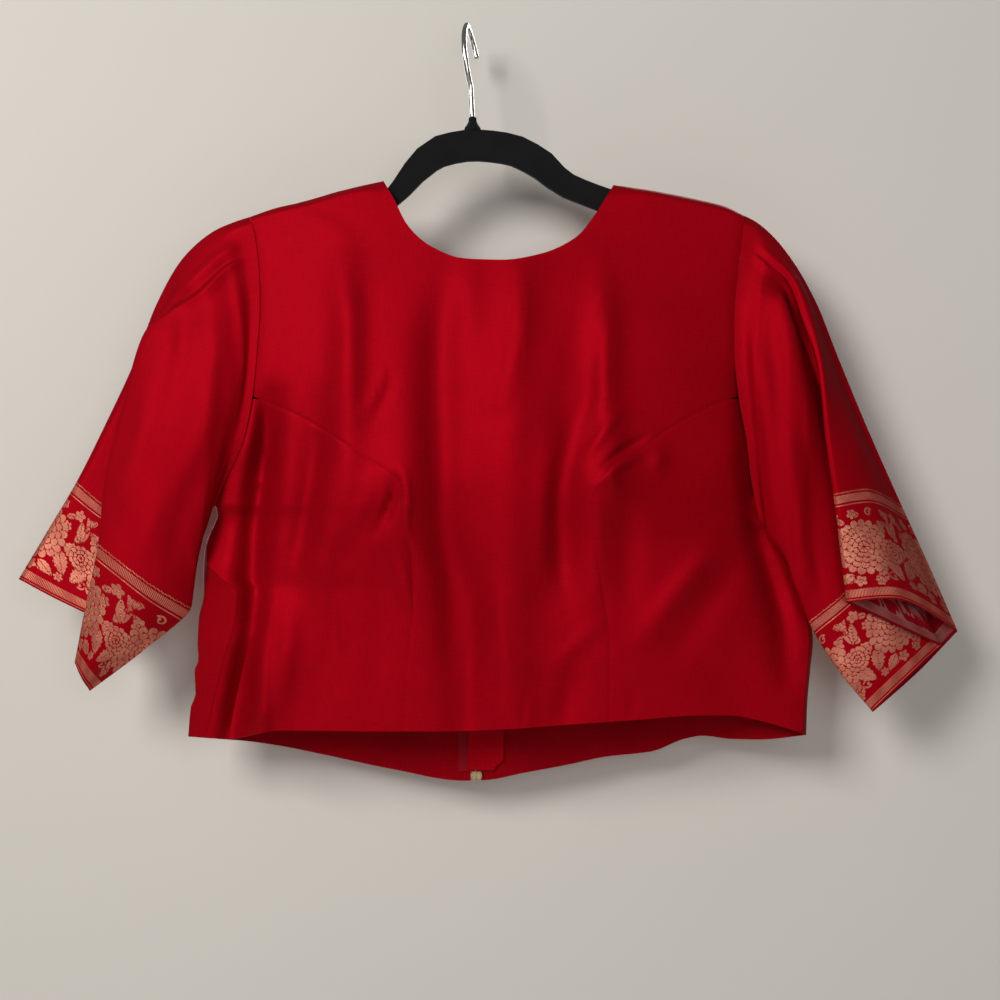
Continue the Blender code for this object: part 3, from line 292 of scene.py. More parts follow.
# The zip's teeth and box, and the hook's wire, in view units or metres.
TAPE_HALF_GAP = 0.3      # half the gap between the tapes, view units
TEETH_TOP_V = 447.0      # below the slider
TEETH_END_GAP = 3.0      # above the tapes' lower ends, view units
TOOTH_PITCH = 1.5        # millimetres
TOOTH_SIDE = 0.55        # each tooth's place to the side of the zip's line, view units
TOOTH_PROUD = 0.35       # how far the teeth stand off the tapes, millimetres
TOOTH_SIZE = (0.0028, 0.0011, 0.0009)
TOOTH_ROUNDING = 0.00015
BOX_RAIL = 0.0011
BOX_ROUNDING = 0.00018
WIRE_POINTS = 110        # points along the hook
WIRE_ROUNDNESS = 8

# The room, in metres.
WALL_Y = 0.052
WALL_TOP = 1.6
FLOOR_Z = -1.45
MIDDLE = (0.02, 0.0, -0.36)

# Creases of the front: path (u, v), height toward the viewer in millimetres, half width in
# view units.
FRONT_CREASES = [
    ([(440, 400), (442, 470), (450, 560), (452, 660)], -4.2, 17.0),
    ([(563, 390), (566, 450), (566, 540), (548, 600)], -4.0, 16.0),
    ([(496, 440), (497, 560), (490, 720)], 2.4, 15.0),
    ([(598, 470), (597, 540), (592, 620)], 2.4, 11.0),
    ([(352, 262), (350, 330), (334, 400), (328, 520)], 2.4, 13.0),
    ([(390, 540), (384, 600), (376, 700)], -2.2, 15.0),
    ([(272, 400), (262, 470), (252, 540), (250, 620)], -8.0, 12.0),
    ([(250, 640), (238, 700), (232, 730)], -5.0, 12.0),
    ([(288, 600), (280, 660), (272, 722)], 4.5, 13.0),
    ([(742, 380), (748, 470), (760, 545), (776, 600)], -8.0, 11.0),
    ([(770, 570), (780, 620), (788, 680)], -6.5, 13.0),
    ([(396, 480), (392, 500), (378, 532)], -5.5, 6.0),
    ([(370, 478), (366, 500), (352, 530)], 2.6, 8.0),
    ([(404, 470), (408, 500), (404, 540)], 2.2, 5.0),
    ([(385, 374), (376, 392), (366, 416)], 1.9, 3.2),
    ([(393, 382), (384, 400), (374, 420)], -1.6, 5.0),
    ([(341, 596), (344, 646)], 1.6, 3.5),
    ([(333, 590), (336, 650)], -1.6, 6.0),
    ([(384, 522), (396, 560), (408, 606)], 2.2, 7.0),
    ([(401, 523), (422, 522)], 0.9, 2.0),
    ([(404, 530), (412, 560), (413, 606)], -1.2, 2.6),
    ([(352, 300), (354, 360), (350, 420)], 2.2, 9.0),
    ([(330, 470), (322, 540)], 1.6, 6.0),
    ([(318, 440), (306, 505), (296, 560)], -3.0, 8.0),
    ([(300, 560), (292, 640), (276, 722)], 2.8, 12.0),
    ([(330, 640), (316, 725)], -2.4, 16.0),
    ([(606, 464), (622, 451), (642, 440)], -4.2, 4.6),
    ([(590, 452), (604, 432), (616, 414)], 2.6, 6.0),
    ([(598, 486), (616, 468), (636, 456)], 3.0, 5.0),
    ([(658, 452), (659, 470)], 2.6, 8.0),
    ([(612, 470), (614, 492)], 2.0, 7.0),
    ([(628, 512), (628, 604)], -3.6, 14.0),
    ([(642, 640), (668, 604), (712, 548)], 4.6, 12.0),
    ([(676, 650), (704, 610), (736, 566)], -3.0, 14.0),
    ([(655, 640), (745, 662)], -1.8, 18.0),
    ([(560, 460), (556, 500), (556, 560)], -4.2, 10.0),
    ([(556, 664), (580, 640), (602, 622)], 1.9, 7.0),
    ([(575, 668), (562, 726)], -3.2, 13.0),
    ([(634, 690), (631, 716)], -1.3, 3.4),
    ([(524, 700), (522, 726)], -1.2, 3.4),
    ([(521, 270), (522, 334), (500, 404)], 3.0, 8.0),
    ([(448, 270), (440, 330), (436, 400)], -2.6, 14.0),
    ([(613, 318), (604, 372), (600, 420)], 2.6, 11.0),
    ([(575, 320), (566, 390), (560, 440)], -2.2, 14.0),
    ([(470, 270), (468, 330)], 1.2, 10.0),
    ([(300, 216), (345, 232)], 0.9, 9.0),
    ([(262, 395), (268, 440), (262, 500)], -3.0, 9.0),
    ([(470, 560), (474, 640), (470, 720)], -1.8, 10.0),
    ([(500, 600), (506, 680), (500, 728)], 2.0, 9.0),
    ([(745, 500), (770, 580), (792, 640)], -2.4, 9.0),
]
# Creases of the back, seen from the front's view, with heights away from the viewer.
BACK_CREASES = [
    ([(300, 300), (292, 360), (300, 430)], -3.7, 12.0),
    ([(330, 470), (350, 560), (346, 640)], -5.1, 14.0),
    ([(390, 480), (404, 600), (398, 740)], 4.4, 15.0),
    ([(262, 520), (300, 560), (350, 584)], 4.1, 7.0),
    ([(240, 560), (290, 610), (340, 640)], -3.9, 9.0),
    ([(690, 300), (700, 370), (688, 440)], -3.9, 12.0),
    ([(560, 470), (548, 590), (556, 730)], -5.1, 14.0),
    ([(640, 480), (620, 600), (628, 720)], 4.6, 16.0),
    ([(740, 540), (700, 580), (640, 600)], 4.1, 8.0),
    ([(760, 590), (700, 640), (650, 660)], -3.7, 9.0),
    ([(420, 452), (440, 470), (462, 480)], 1.8, 5.0),
    ([(520, 452), (506, 470), (492, 480)], 1.8, 5.0),
]
# Creases of the sleeves' near layers.
SLEEVE_CREASES = {
    "left": [
        ([(224, 262), (234, 320), (240, 384)], -1.6, 9.0),
        ([(206, 290), (214, 350), (208, 420), (190, 470)], 2.4, 10.0),
        ([(184, 300), (182, 350), (170, 410)], -2.4, 10.0),
        ([(150, 380), (140, 440), (120, 500)], 1.9, 12.0),
        ([(196, 470), (180, 520), (168, 560)], -1.9, 11.0),
        ([(158, 500), (146, 540), (140, 566)], 1.2, 9.0),
    ],
    "right": [
        ([(752, 262), (748, 320), (752, 380)], 1.6, 7.0),
        ([(757, 330), (766, 326), (774, 320)], 0.8, 2.6),
        ([(766, 300), (776, 370), (782, 440)], -2.0, 10.0),
        ([(790, 440), (800, 520), (806, 590)], 1.6, 8.0),
        ([(812, 540), (822, 590)], -1.4, 6.0),
        ([(866, 440), (850, 470)], 0.9, 7.0),
    ],
}


def raw(u, v, y):
    """A point of the front view at its real place, in millimetres from the view's corner."""
    spread = (EYE_DISTANCE + y) / EYE_DISTANCE
    return Vector((
        (EYE_U + (u - EYE_U) * spread) * UNIT,
        y,
        -(EYE_V + (v - EYE_V) * spread) * UNIT,
    ))


def at(u, v, y):
    """The same point in metres from the hook's crown."""
    return (raw(u, v, y) - raw(*CROWN)) / 1000.0


def smooth(table, x):
    """Reads a table at x by a curve with no overshoot; the first column is x."""
    last = len(table) - 1
    if x <= table[0][0]:
        return list(table[0][1:])
    if x >= table[last][0]:
        return list(table[last][1:])
    k = 0
    while table[k + 1][0] < x:
        k += 1
    step = table[k + 1][0] - table[k][0]
    t = (x - table[k][0]) / step
    values = []
    for c in range(1, len(table[0])):

        def slope(j):
            if j <= 0 or j >= last:
                return (table[min(j + 1, last)][c] - table[max(j - 1, 0)][c]) / (
                    table[min(j + 1, last)][0] - table[max(j - 1, 0)][0])
            before = (table[j][c] - table[j - 1][c]) / (table[j][0] - table[j - 1][0])
            after = (table[j + 1][c] - table[j][c]) / (table[j + 1][0] - table[j][0])
            if before * after <= 0.0:
                return 0.0
            return 2.0 * before * after / (before + after)

        a, b = table[k][c], table[k + 1][c]
        values.append(
            a * (2 * t**3 - 3 * t**2 + 1) + slope(k) * step * (t**3 - 2 * t**2 + t)
            + b * (3 * t**2 - 2 * t**3) + slope(k + 1) * step * (t**3 - t**2))
    return values


def ease(low, high, x):
    """0 below low, 1 above high, and a smooth rise between."""
    t = min(max((x - low) / (high - low), 0.0), 1.0)
    return t * t * (3.0 - 2.0 * t)


def mix(a, b, t):
    """From a at t 0 to b at t 1."""
    return a + (b - a) * t


def spread_along(points, fractions):
    """Points of a polyline at given fractions of its length."""
    lengths = [0.0]
    for a, b in zip(points, points[1:]):
        lengths.append(lengths[-1] + math.dist(a, b))
    table = [(length, *point) for length, point in zip(lengths, points)]
    return [smooth(table, f * lengths[-1]) for f in fractions]


def body_left(v):
    """u and y of the front's left edge: the armhole, then the side seam."""
    if v < ARMHOLE_LEFT[-1][0]:
        return smooth(ARMHOLE_LEFT, v)[0], None
    return smooth(SIDE_SEAM_LEFT, v)


def body_right(v):
    """The same for the right edge."""
    if v < ARMHOLE_RIGHT[-1][0]:
        return smooth(ARMHOLE_RIGHT, v)[0], None
    return smooth(SIDE_SEAM_RIGHT, v)


def shoulder_v(u):
    """v of the shoulder line at u, level across the neck."""
    line = SHOULDER_LEFT if u < 500 else SHOULDER_RIGHT
    return smooth(line, u)[0]


def shoulder_wrap(u, v):
    """0 on the shoulder line, rising to 1 where the cloth has come round from it."""
    corner = min(abs(u - SHOULDER_LEFT[-1][0]), abs(u - SHOULDER_RIGHT[0][0])) / CORNER_REACH
    reach = WRAP + NECK_WRAP * math.exp(-corner * corner)
    below = max((v - shoulder_v(u)) * UNIT, 0.0)
    return math.sqrt(max(1.0 - (1.0 - min(below / reach, 1.0)) ** 2, 0.0))


def front_y(u, v):
    """Depth of the front's outer face."""
    left_u, left_y = body_left(v)
    right_u, right_y = body_right(v)
    arm_y = smooth(FRONT_ARM_DEPTH, v)[0]
    left_y = arm_y if left_y is None else left_y
    right_y = arm_y if right_y is None else right_y
    p = min(max((u - left_u) / (right_u - left_u), 0.0), 1.0)
    edge = mix(left_y, right_y, p)
    full, bust = smooth(FRONT_FULLNESS, v)
    off_middle = abs(2.0 * p - 1.0)
    y = mix(edge, smooth(FRONT_DEPTH, v)[0], 1.0 - off_middle**EDGE_HOLD)
    y -= full * (1.0 - off_middle**FRONT_ROUNDING)
    inside = min(1.0, (u - left_u) / EDGE_FADE, (right_u - u) / EDGE_FADE)
    inside = ease(0.0, 1.0, inside)
    for bust_u, bust_v in BUST_POINTS:
        away = math.hypot(u - bust_u, (v - bust_v) * BUST_SQUASH) / BUST_RADIUS
        y -= bust * math.exp(-away * away) * inside
    for _, path, height, half, start, end in FRONT_FOLDS:
        centre = smooth(path, v)[0]
        strength = ease(start - FOLD_IN[0], start + FOLD_IN[1], v)
        strength *= 1.0 - ease(end - FOLD_OUT[0], end + FOLD_OUT[1], v)
        away = (u - centre) / half
        y -= height * strength * math.exp(-away * away) * inside
    return -SHOULDER_GAP + (y + SHOULDER_GAP) * shoulder_wrap(u, v)


def back_y(u, v):
    """Depth of the back's outer face, away from the viewer."""
    left_u = smooth(ARMHOLE_LEFT if v < ARMHOLE_LEFT[-1][0] else BODY_EDGE_LEFT, v)[0]
    right_u = smooth(ARMHOLE_RIGHT if v < ARMHOLE_RIGHT[-1][0] else BODY_EDGE_RIGHT, v)[0]
    p = min(max((u - left_u) / (right_u - left_u), 0.0), 1.0)
    edge = smooth(BACK_ARM_DEPTH, v)[0]
    full = smooth(BACK_FULLNESS, v)[0] * (1.0 - abs(2.0 * p - 1.0) ** BACK_ROUNDING)
    wave = WAVE_HEIGHT * math.sin((u - WAVE_START) / WAVE_LENGTH) * ease(*WAVE_RISE, v)
    wave *= 1.0 - abs(2.0 * p - 1.0) ** 6
    y = edge + full + wave * (1.0 - math.exp(-((u - ZIP_U) / ZIP_FLAT) ** 2))
    return SHOULDER_GAP + (y - SHOULDER_GAP) * shoulder_wrap(u, v)


def front_rows(v_start):
    """Rows under the yoke: v for the bust seam's rows, then fractions to the hem."""
    rows = [("v", v) for v in SEAM_ROWS if v > v_start]
    return rows + [("to_hem", f) for f in SKIRT_ROWS]


def row_v(kind, value, u):
    """v of a row at u; the lower rows ease into the hem's own line."""
    if kind == "v":
        return value
    return mix(SEAM_ROWS[-1], smooth(FRONT_HEM, u)[0], value)


def front_centre_grid():
    """The front's middle: a yoke down to the armholes' lower part, then between the bust seams."""
    fractions = [i / SHOULDER_COLUMNS for i in range(SHOULDER_COLUMNS + 1)]
    top = spread_along(SHOULDER_LEFT, fractions)
    top += spread_along(NECK, NECK_SHARES)
    top += spread_along(SHOULDER_RIGHT, fractions)
    evenness = [0.0] * len(fractions)
    evenness += [ease(0.0, 0.12, min(share, 1.0 - share)) for share in NECK_SHARES]
    evenness += [0.0] * len(fractions)
    columns = len(top) - 1
    share = [(u - top[0][0]) / (top[-1][0] - top[0][0]) for u, _ in top]
    left_base, right_base = BUST_SEAM_LEFT[0][1], BUST_SEAM_RIGHT[0][1]
    grid = []
    for j, tight in enumerate(YOKE_ROWS):
        row = []
        for i, (top_u, top_v) in enumerate(top):
            s = share[i]
            f = mix(tight, j / (len(YOKE_ROWS) - 1), evenness[i])
            base_u = mix(left_base, right_base, s)
            v = mix(top_v, YOKE_V, f)
            u = mix(top_u, base_u, f)
            left = smooth(ARMHOLE_LEFT, mix(top[0][1], YOKE_V, f))[0]
            left -= mix(top[0][0], left_base, f)
            right = smooth(ARMHOLE_RIGHT, mix(top[-1][1], YOKE_V, f))[0]
            right -= mix(top[-1][0], right_base, f)
            u += left * (1.0 - s) ** 4 + right * s ** 4
            row.append((u, v, front_y(u, v)))
        grid.append(row)
    for kind, value in front_rows(YOKE_V):
        row = []
        for i in range(columns + 1):
            u = mix(left_base, right_base, share[i])
            for _ in range(3):
                v = row_v(kind, value, u)
                u = mix(smooth(BUST_SEAM_LEFT, v)[0], smooth(BUST_SEAM_RIGHT, v)[0], share[i])
            row.append((u, v, front_y(u, v)))
        grid.append(row)
    return np.array(grid)




def front_side_grid(left):
    """A side front: from the side seam to the bust seam on the left, mirrored in order on the right."""
    seam = BUST_SEAM_LEFT if left else BUST_SEAM_RIGHT
    grid = []
    for kind, value in [("v", SIDE_TOP_V)] + front_rows(SIDE_TOP_V):
        row = []
        for i in range(SIDE_COLUMNS + 1):
            s = i / SIDE_COLUMNS
            s = s if left else 1.0 - s
            u = 300.0 if left else 700.0
            for _ in range(4):
                v = row_v(kind, value, u)
                edge = (body_left(v) if left else body_right(v))[0]
                u = mix(edge, smooth(seam, v)[0], s)
            row.append((u, v, front_y(u, v)))
        grid.append(row)
    return np.array(grid)


def back_neck_u(v, left):
    """u of the back neck's left or right side."""
    return smooth(BACK_NECK, v)[0 if left else 1]


def back_grid(left):
    """One back piece, from the shoulder to the hem, with its edge turned round to the side seam."""
    shoulder = SHOULDER_LEFT if left else list(reversed(SHOULDER_RIGHT))
    armhole = ARMHOLE_LEFT if left else ARMHOLE_RIGHT
    side_seam = SIDE_SEAM_LEFT if left else SIDE_SEAM_RIGHT
    body_edge = BODY_EDGE_LEFT if left else BODY_EDGE_RIGHT
    centre = ZIP_U - ZIP_HALF_GAP if left else ZIP_U + ZIP_HALF_GAP
    away = -1.0 if left else 1.0
    under_v = armhole[-1][0]
    neck_start = back_neck_u(181.0, left)
    grid = []
    for f in BACK_ROWS:
        row = []
        for i in range(BACK_COLUMNS + 1):
            s = i / BACK_COLUMNS
            start_u = mix(shoulder[0][0], neck_start, s)
            v = mix(shoulder_v(start_u), mix(BACK_YOKE_V, BACK_NECK_BOTTOM, s), f)
            u = mix(smooth(armhole, v)[0], back_neck_u(v, left), s)
            row.append((u, v, back_y(u, v)))
        grid.append(row)
    seam_hem_v = row_v("to_hem", 1.0, side_seam[-1][1])
    for kind, value in front_rows(BACK_YOKE_V + 2.0):
        seam_v = row_v(kind, value, side_seam[-1][1])
        f = (seam_v - BACK_YOKE_V) / (seam_hem_v - BACK_YOKE_V)
        turn = turned_in(under_v, seam_v)
        row = []
        for i in range(BACK_COLUMNS + 1):
            s = i / BACK_COLUMNS
            u = mix(smooth(armhole, BACK_YOKE_V)[0], centre, s)
            top_v = mix(BACK_YOKE_V, BACK_NECK_BOTTOM, s)
            v = seam_v
            for _ in range(4):
                if i:
                    v = mix(top_v, smooth(BACK_HEM, u)[0], f)
                edge = smooth(armhole, v)[0] if v < under_v else smooth(body_edge, v)[0]
                flat_u = mix(edge, centre, s)
                if i <= TURN_COLUMNS:
                    seam = smooth(side_seam, v) if v >= under_v else [edge, side_seam[0][2]]
                    round_u, round_y = turn_point(seam, edge, away, i / TURN_COLUMNS, v)
                    u = mix(flat_u, round_u, turn)
                else:
                    start = edge - away * TURN_WIDTH
                    inward = (i - TURN_COLUMNS) / (BACK_COLUMNS - TURN_COLUMNS)
                    u = mix(flat_u, mix(start, centre, inward), turn)
            y = back_y(u, v)
            if i <= TURN_COLUMNS:
                y = mix(y, round_y, turn)
            row.append((u, v, y))
        grid.append(row)
    return np.array(grid)


def turned_in(under_v, v):
    """How far the back's edge has left the back of the armhole for the side seam at v."""
    return ease(under_v - 52.0, under_v - 1.0, v)


def turn_point(seam, edge_u, away, t, v):
    """A point of the back's turned edge: t 0 at the side seam, 1 on the back."""
    seam_u, seam_y = seam
    back_u = edge_u - away * TURN_WIDTH
    start_y = seam_y + SIDE_LAP
    end_y = back_y(back_u, v)
    path = [
        (0.0, seam_u + away * 0.3, start_y),
        (1.0 / 3.0, mix(seam_u, edge_u, 0.62) + away, mix(start_y, end_y, 0.3)),
        (2.0 / 3.0, edge_u + away, mix(start_y, end_y, 0.62)),
        (1.0, back_u, end_y),
    ]
    return smooth(path, t)


def armhole_ring(left, fractions):
    """The armhole round from the shoulder: down the front by fraction 0.5, then up the back."""
    armhole = ARMHOLE_LEFT if left else ARMHOLE_RIGHT
    away = -ARM_SEAM if left else ARM_SEAM
    seam_y = (SIDE_SEAM_LEFT if left else SIDE_SEAM_RIGHT)[0][2] + SIDE_LAP
    front = []
    back = []
    for k in range(41):
        v = mix(armhole[0][0], armhole[-1][0], k / 40.0)
        u = smooth(armhole, v)[0]
        front.append((u + away, v, front_y(u, v)))
        back.append((u + away, v, mix(back_y(u, v), seam_y, turned_in(armhole[-1][0], v))))
    bottom = (front[-1][0], armhole[-1][0] + ARM_SEAM, seam_y - SIDE_LAP / 2.0)
    front[-1] = back[-1] = bottom
    down = spread_along(front, [2.0 * f for f in fractions if f <= 0.5])
    up = spread_along(list(reversed(back)), [2.0 * f - 1.0 for f in fractions if f > 0.5])
    return down + up


def turned_fold(before, point, after, radius):
    """Three points round a fold, so that its two layers lie a little apart."""
    reach = min(radius / UNIT, 0.4 * math.dist(before, point), 0.4 * math.dist(point, after))
    to_before = Vector((before[0] - point[0], before[1] - point[1])).normalized()
    to_after = Vector((after[0] - point[0], after[1] - point[1])).normalized()
    closed = (1.0 + to_before.dot(to_after)) / 2.0
    apart = reach * UNIT * closed * (1.0 if before[2] > after[2] else -1.0)
    return [
        (point[0] + to_before.x * reach, point[1] + to_before.y * reach, point[2] + apart),
        tuple(point),
        (point[0] + to_after.x * reach, point[1] + to_after.y * reach, point[2] - apart),
    ]


def section_ring(section, radius, split):
    """A closed curve through a section's points, rounded at its folds."""
    points = []
    counts = []
    total = len(section)
    for i in range(total):
        if i in FOLDS:
            points += turned_fold(section[i - 1], section[i], section[(i + 1) % total], radius)
            counts += [1, 1, SEGMENT_COUNTS[i]]
        else:
            points.append(tuple(section[i]))
            counts.append(SEGMENT_COUNTS[i])
    total = len(points)
    gaps = [math.dist(points[i], points[(i + 1) % total]) for i in range(total)]
    ring = []
    for i in range(total):
        j = (i + 1) % total
        a, b = points[i], points[j]
        gap = gaps[i]
        start = slope_at(points, gaps, i)
        end = slope_at(points, gaps, j)
        start_pull = min(gap, 2.0 * gaps[i - 1])
        end_pull = min(gap, 2.0 * gaps[j])
        count = counts[i] * split
        for k in range(count):
            t = k / count
            ring.append(tuple(
                a[c] * (2 * t**3 - 3 * t**2 + 1) + start[c] * start_pull * (t**3 - 2 * t**2 + t)
                + b[c] * (3 * t**2 - 2 * t**3) + end[c] * end_pull * (t**3 - t**2)
                for c in range(3)))
    return ring[split:] + ring[:split]


def slope_at(points, gaps, i):
    """Direction of a closed curve at one of its points, by the lengths on both sides."""
    before, after = gaps[i - 1], gaps[i]
    last, here, following = points[i - 1], points[i], points[(i + 1) % len(points)]
    return [
        ((here[c] - last[c]) / before * after + (following[c] - here[c]) / after * before)
        / (before + after)
        for c in range(3)]


def sleeve_stations(sections, left, split):
    """Every section's points as rings, with the armhole as the first."""
    rings = [section_ring(section, radius, split) for section, radius in zip(sections, FOLD_RADII)]
    first = rings[0]
    lengths = [0.0]
    for a, b in zip(first, first[1:] + first[:1]):
        lengths.append(lengths[-1] + math.dist(a, b))
    bottom = min(range(len(first)), key=lambda i: math.dist(first[i], sections[0][6]))
    half = lengths[bottom]
    fractions = [
        0.5 * length / half if length <= half else 0.5 + 0.5 * (length - half) / (lengths[-1] - half)
        for length in lengths[:-1]]
    armhole = armhole_ring(left, fractions)
    # The sleeve leaves the armhole level with the body, then fills out.
    away = -LEVEL_REACH if left else LEVEL_REACH
    level = [
        (mix(a[0], b[0], LEVEL_STEP) + away, mix(a[1], b[1], LEVEL_STEP), mix(a[2], b[2], 0.04))
        for a, b in zip(armhole, first)]
    return [(0.0, armhole), (LEVEL_STEP, level)] + [(k + 1.0, ring) for k, ring in enumerate(rings)]


def places(grid):
    """World points of an array of (u, v, y)."""
    u, v, y = grid[..., 0], grid[..., 1], grid[..., 2]
    spread = (EYE_DISTANCE + y) / EYE_DISTANCE
    real = np.stack(
        ((EYE_U + (u - EYE_U) * spread) * UNIT, y, -(EYE_V + (v - EYE_V) * spread) * UNIT), axis=-1)
    return (real - np.array(raw(*CROWN))) / 1000.0


def crease(grid, path, height, half):
    """A soft trough or ridge along a path, fading toward its ends."""
    u, v = grid[..., 0], grid[..., 1]
    lengths = [math.dist(a, b) for a, b in zip(path, path[1:])]
    nearest = np.full(u.shape, 1.0e9)
    along = np.zeros(u.shape)
    done = 0.0
    for (au, av), (bu, bv), length in zip(path, path[1:], lengths):
        t = ((u - au) * (bu - au) + (v - av) * (bv - av)) / length**2
        t = np.clip(t, 0.0, 1.0)
        away = np.hypot(u - mix(au, bu, t), v - mix(av, bv, t))
        closer = away < nearest
        nearest = np.where(closer, away, nearest)
        along = np.where(closer, (done + t * length) / sum(lengths), along)
        done += length
    fade = np.sin(np.pi * np.clip(0.08 + 0.84 * along, 0.0, 1.0)) ** 0.7
    return height * fade * np.exp(-((nearest / half) ** 2))


def creased(grid, creases, toward_viewer=True):
    """The grid with every crease of a list pressed in."""
    moved = grid.copy()
    sign = -1.0 if toward_viewer else 1.0
    for path, height, half in creases:
        moved[..., 2] += sign * crease(grid, path, height, half)
    return moved


def near_edge(grid, line, half, depth, toward_viewer=True):
    """A seam's edge, pressed in a little along a line of (u, v) points."""
    moved = grid.copy()
    u, v = grid[..., 0], grid[..., 1]
    nearest = np.full(u.shape, 1.0e9)
    for (au, av), (bu, bv) in zip(line, line[1:]):
        length = max(math.dist((au, av), (bu, bv)), 1.0e-6)
        t = np.clip(((u - au) * (bu - au) + (v - av) * (bv - av)) / length**2, 0.0, 1.0)
        nearest = np.minimum(nearest, np.hypot(u - mix(au, bu, t), v - mix(av, bv, t)))
    dip = depth * np.exp(-((nearest / half) ** 2))
    moved[..., 2] += dip if toward_viewer else -dip
    return moved


def through(steps, rings, step):
    """Rings at any step along a sleeve, by a curve with no overshoot."""
    last = len(steps) - 1
    k = min(max(int(np.searchsorted(steps, step, side="right")) - 1, 0), last - 1)
    span = steps[k + 1] - steps[k]
    t = (step - steps[k]) / span

    def slope(j):
        if j <= 0 or j >= last:
            a, b = max(j - 1, 0), min(j + 1, last)
            return (rings[b] - rings[a]) / (steps[b] - steps[a])
        before = (rings[j] - rings[j - 1]) / (steps[j] - steps[j - 1])
        after = (rings[j + 1] - rings[j]) / (steps[j + 1] - steps[j])
        same = before * after > 0.0
        total = np.where(same, before + after, 1.0)
        return np.where(same, 2.0 * before * after / total, 0.0)

    return (
        rings[k] * (2 * t**3 - 3 * t**2 + 1) + slope(k) * span * (t**3 - 2 * t**2 + t)
        + rings[k + 1] * (3 * t**2 - 2 * t**3) + slope(k + 1) * span * (t**3 - t**2))


def sleeve_rows(stations, steps):
    """A sleeve's rings at each of the steps along it."""
    where = np.array([place for place, _ in stations])
    rings = np.array([ring for _, ring in stations])
    return np.array([through(where, rings, step) for step in steps])


def evenly(grid, columns):
    """The same rings with evenly spaced points, judged on the middle row."""
    middle = places(grid)[len(grid) // 2]
    around = np.linalg.norm(np.roll(middle, -1, axis=0) - middle, axis=1)
    total = np.concatenate(([0.0], np.cumsum(around)))
    even = np.linspace(0.0, total[-1], columns, endpoint=False)
    spots = np.interp(even, total, np.arange(len(total)))
    low = np.floor(spots).astype(int)
    part = (spots - low)[None, :, None]
    closed = np.concatenate((grid, grid[:, :1]), axis=1)
    return closed[:, low] * (1.0 - part) + closed[:, low + 1] * part


def surface(name, points, looks, uvs, closed=False, back_rows=0, flip=False):
    """A mesh of rows of points. A closed one joins its last column to its first, and rows
    past the first len - back_rows are its reverse side, which takes the second look."""
    rows, columns = points.shape[:2]
    loop_columns = columns if closed else columns - 1
    loop_rows = rows if back_rows else rows - 1
    r, c = np.meshgrid(np.arange(loop_rows), np.arange(loop_columns), indexing="ij")
    r, c = r.ravel(), c.ravel()
    corners = [(r, c), (r + 1, c), (r + 1, c + 1), (r, c + 1)]
    if flip:
        corners.reverse()
    faces = np.stack([(a % rows) * columns + b % columns for a, b in corners], axis=1)
    mesh = bpy.data.meshes.new(name)
    mesh.from_pydata(points.reshape(-1, 3).tolist(), [], faces.tolist())
    layer = mesh.uv_layers.new(name="cloth")
    shared = np.stack(
        [np.stack([uvs[a % rows, b, k] for a, b in corners], axis=1) for k in (0, 1)], axis=-1)
    layer.data.foreach_set("uv", shared.reshape(-1).astype(np.float32))
    for look in looks:
        mesh.materials.append(look)
    if back_rows:
        reverse = (r >= rows - back_rows).astype(np.int32)
        mesh.polygons.foreach_set("material_index", reverse)
    mesh.shade_smooth()
    mesh.update()
    piece = bpy.data.objects.new(name, mesh)
    bpy.context.scene.collection.objects.link(piece)
    return piece


def flat_uvs(grid):
    """Cloth coordinates in metres, straight from the front view."""
    return np.stack((grid[..., 0] * UNIT, -grid[..., 1] * UNIT), axis=-1) / 1000.0


def tube_uvs(points, closed_columns):
    """Cloth coordinates in metres round a tube and along it."""
    around = np.linalg.norm(np.roll(points, -1, axis=1) - points, axis=2).mean(axis=0)
    across = np.concatenate(([0.0], np.cumsum(around)))[:closed_columns]
    down = np.linalg.norm(np.diff(points, axis=0), axis=2).mean(axis=1)
    along = np.concatenate(([0.0], np.cumsum(down)))
    u, v = np.meshgrid(across, -along)
    return np.stack((u, v), axis=-1)


def cloth(name, points, uvs, looks, node, flip=False, closed=False):
    """A thin cloth piece with its wall, attached to the blouse, that stands for a node and hides it."""
    piece = surface(name, points, looks, uvs, closed=closed, flip=flip)
    wall = piece.modifiers.new("Wall", "SOLIDIFY")
    wall.thickness = SILK_SHOWN / 1000.0
    wall.offset = -1.0
    wall.use_even_offset = False
    if len(looks) > 1:
        wall.material_offset = 1
    bpy.ops.object.select_all(action="DESELECT")
    piece.select_set(True)
    bpy.context.view_layer.objects.active = piece
    bpy.ops.object.modifier_apply(modifier="Wall")
    bpy.ops.object.shade_smooth_by_angle(angle=math.radians(SMOOTH_ANGLE))
    finish_cloth(piece, node, points, closed)
    return piece


def finish_cloth(piece, node, points, closed):
    """Attaches a cloth piece to the blouse's body and hides the node it stands for."""
    if closed:
        points = np.concatenate((points, points[:, :1]), axis=1)
    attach(piece, "blouse")
    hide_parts(node)


# The border's pattern, in millimetres: x round the sleeve, y from the seam down to the hem.
# Every figure gives how far a point lies inside its gold, below 0 where the ground is red,
# and how far it lies inside the figure's whole outline.
REPEAT = 62.0            # nearest width of one repeat
RED_LINE = 0.36          # half width of the red lines between gold figures
FIELD = (14.2, 78.4)     # the flowers' field
WIDE_STRIPE = (3.2, 9.4)
THIN_STRIPE = (11.0, 11.9)
HEM_STRIPE = (80.2, 86.6)
HEM_LINE = (88.0, 88.6)
SERRATED_Y = 1.2         # the toothed line next to the seam
SERRATED_PITCH = 2.1


def turned_to(x, y, angle):
    """x and y measured along and across a direction in degrees."""
    c, s = math.cos(math.radians(angle)), math.sin(math.radians(angle))
    return x * c + y * s, -x * s + y * c


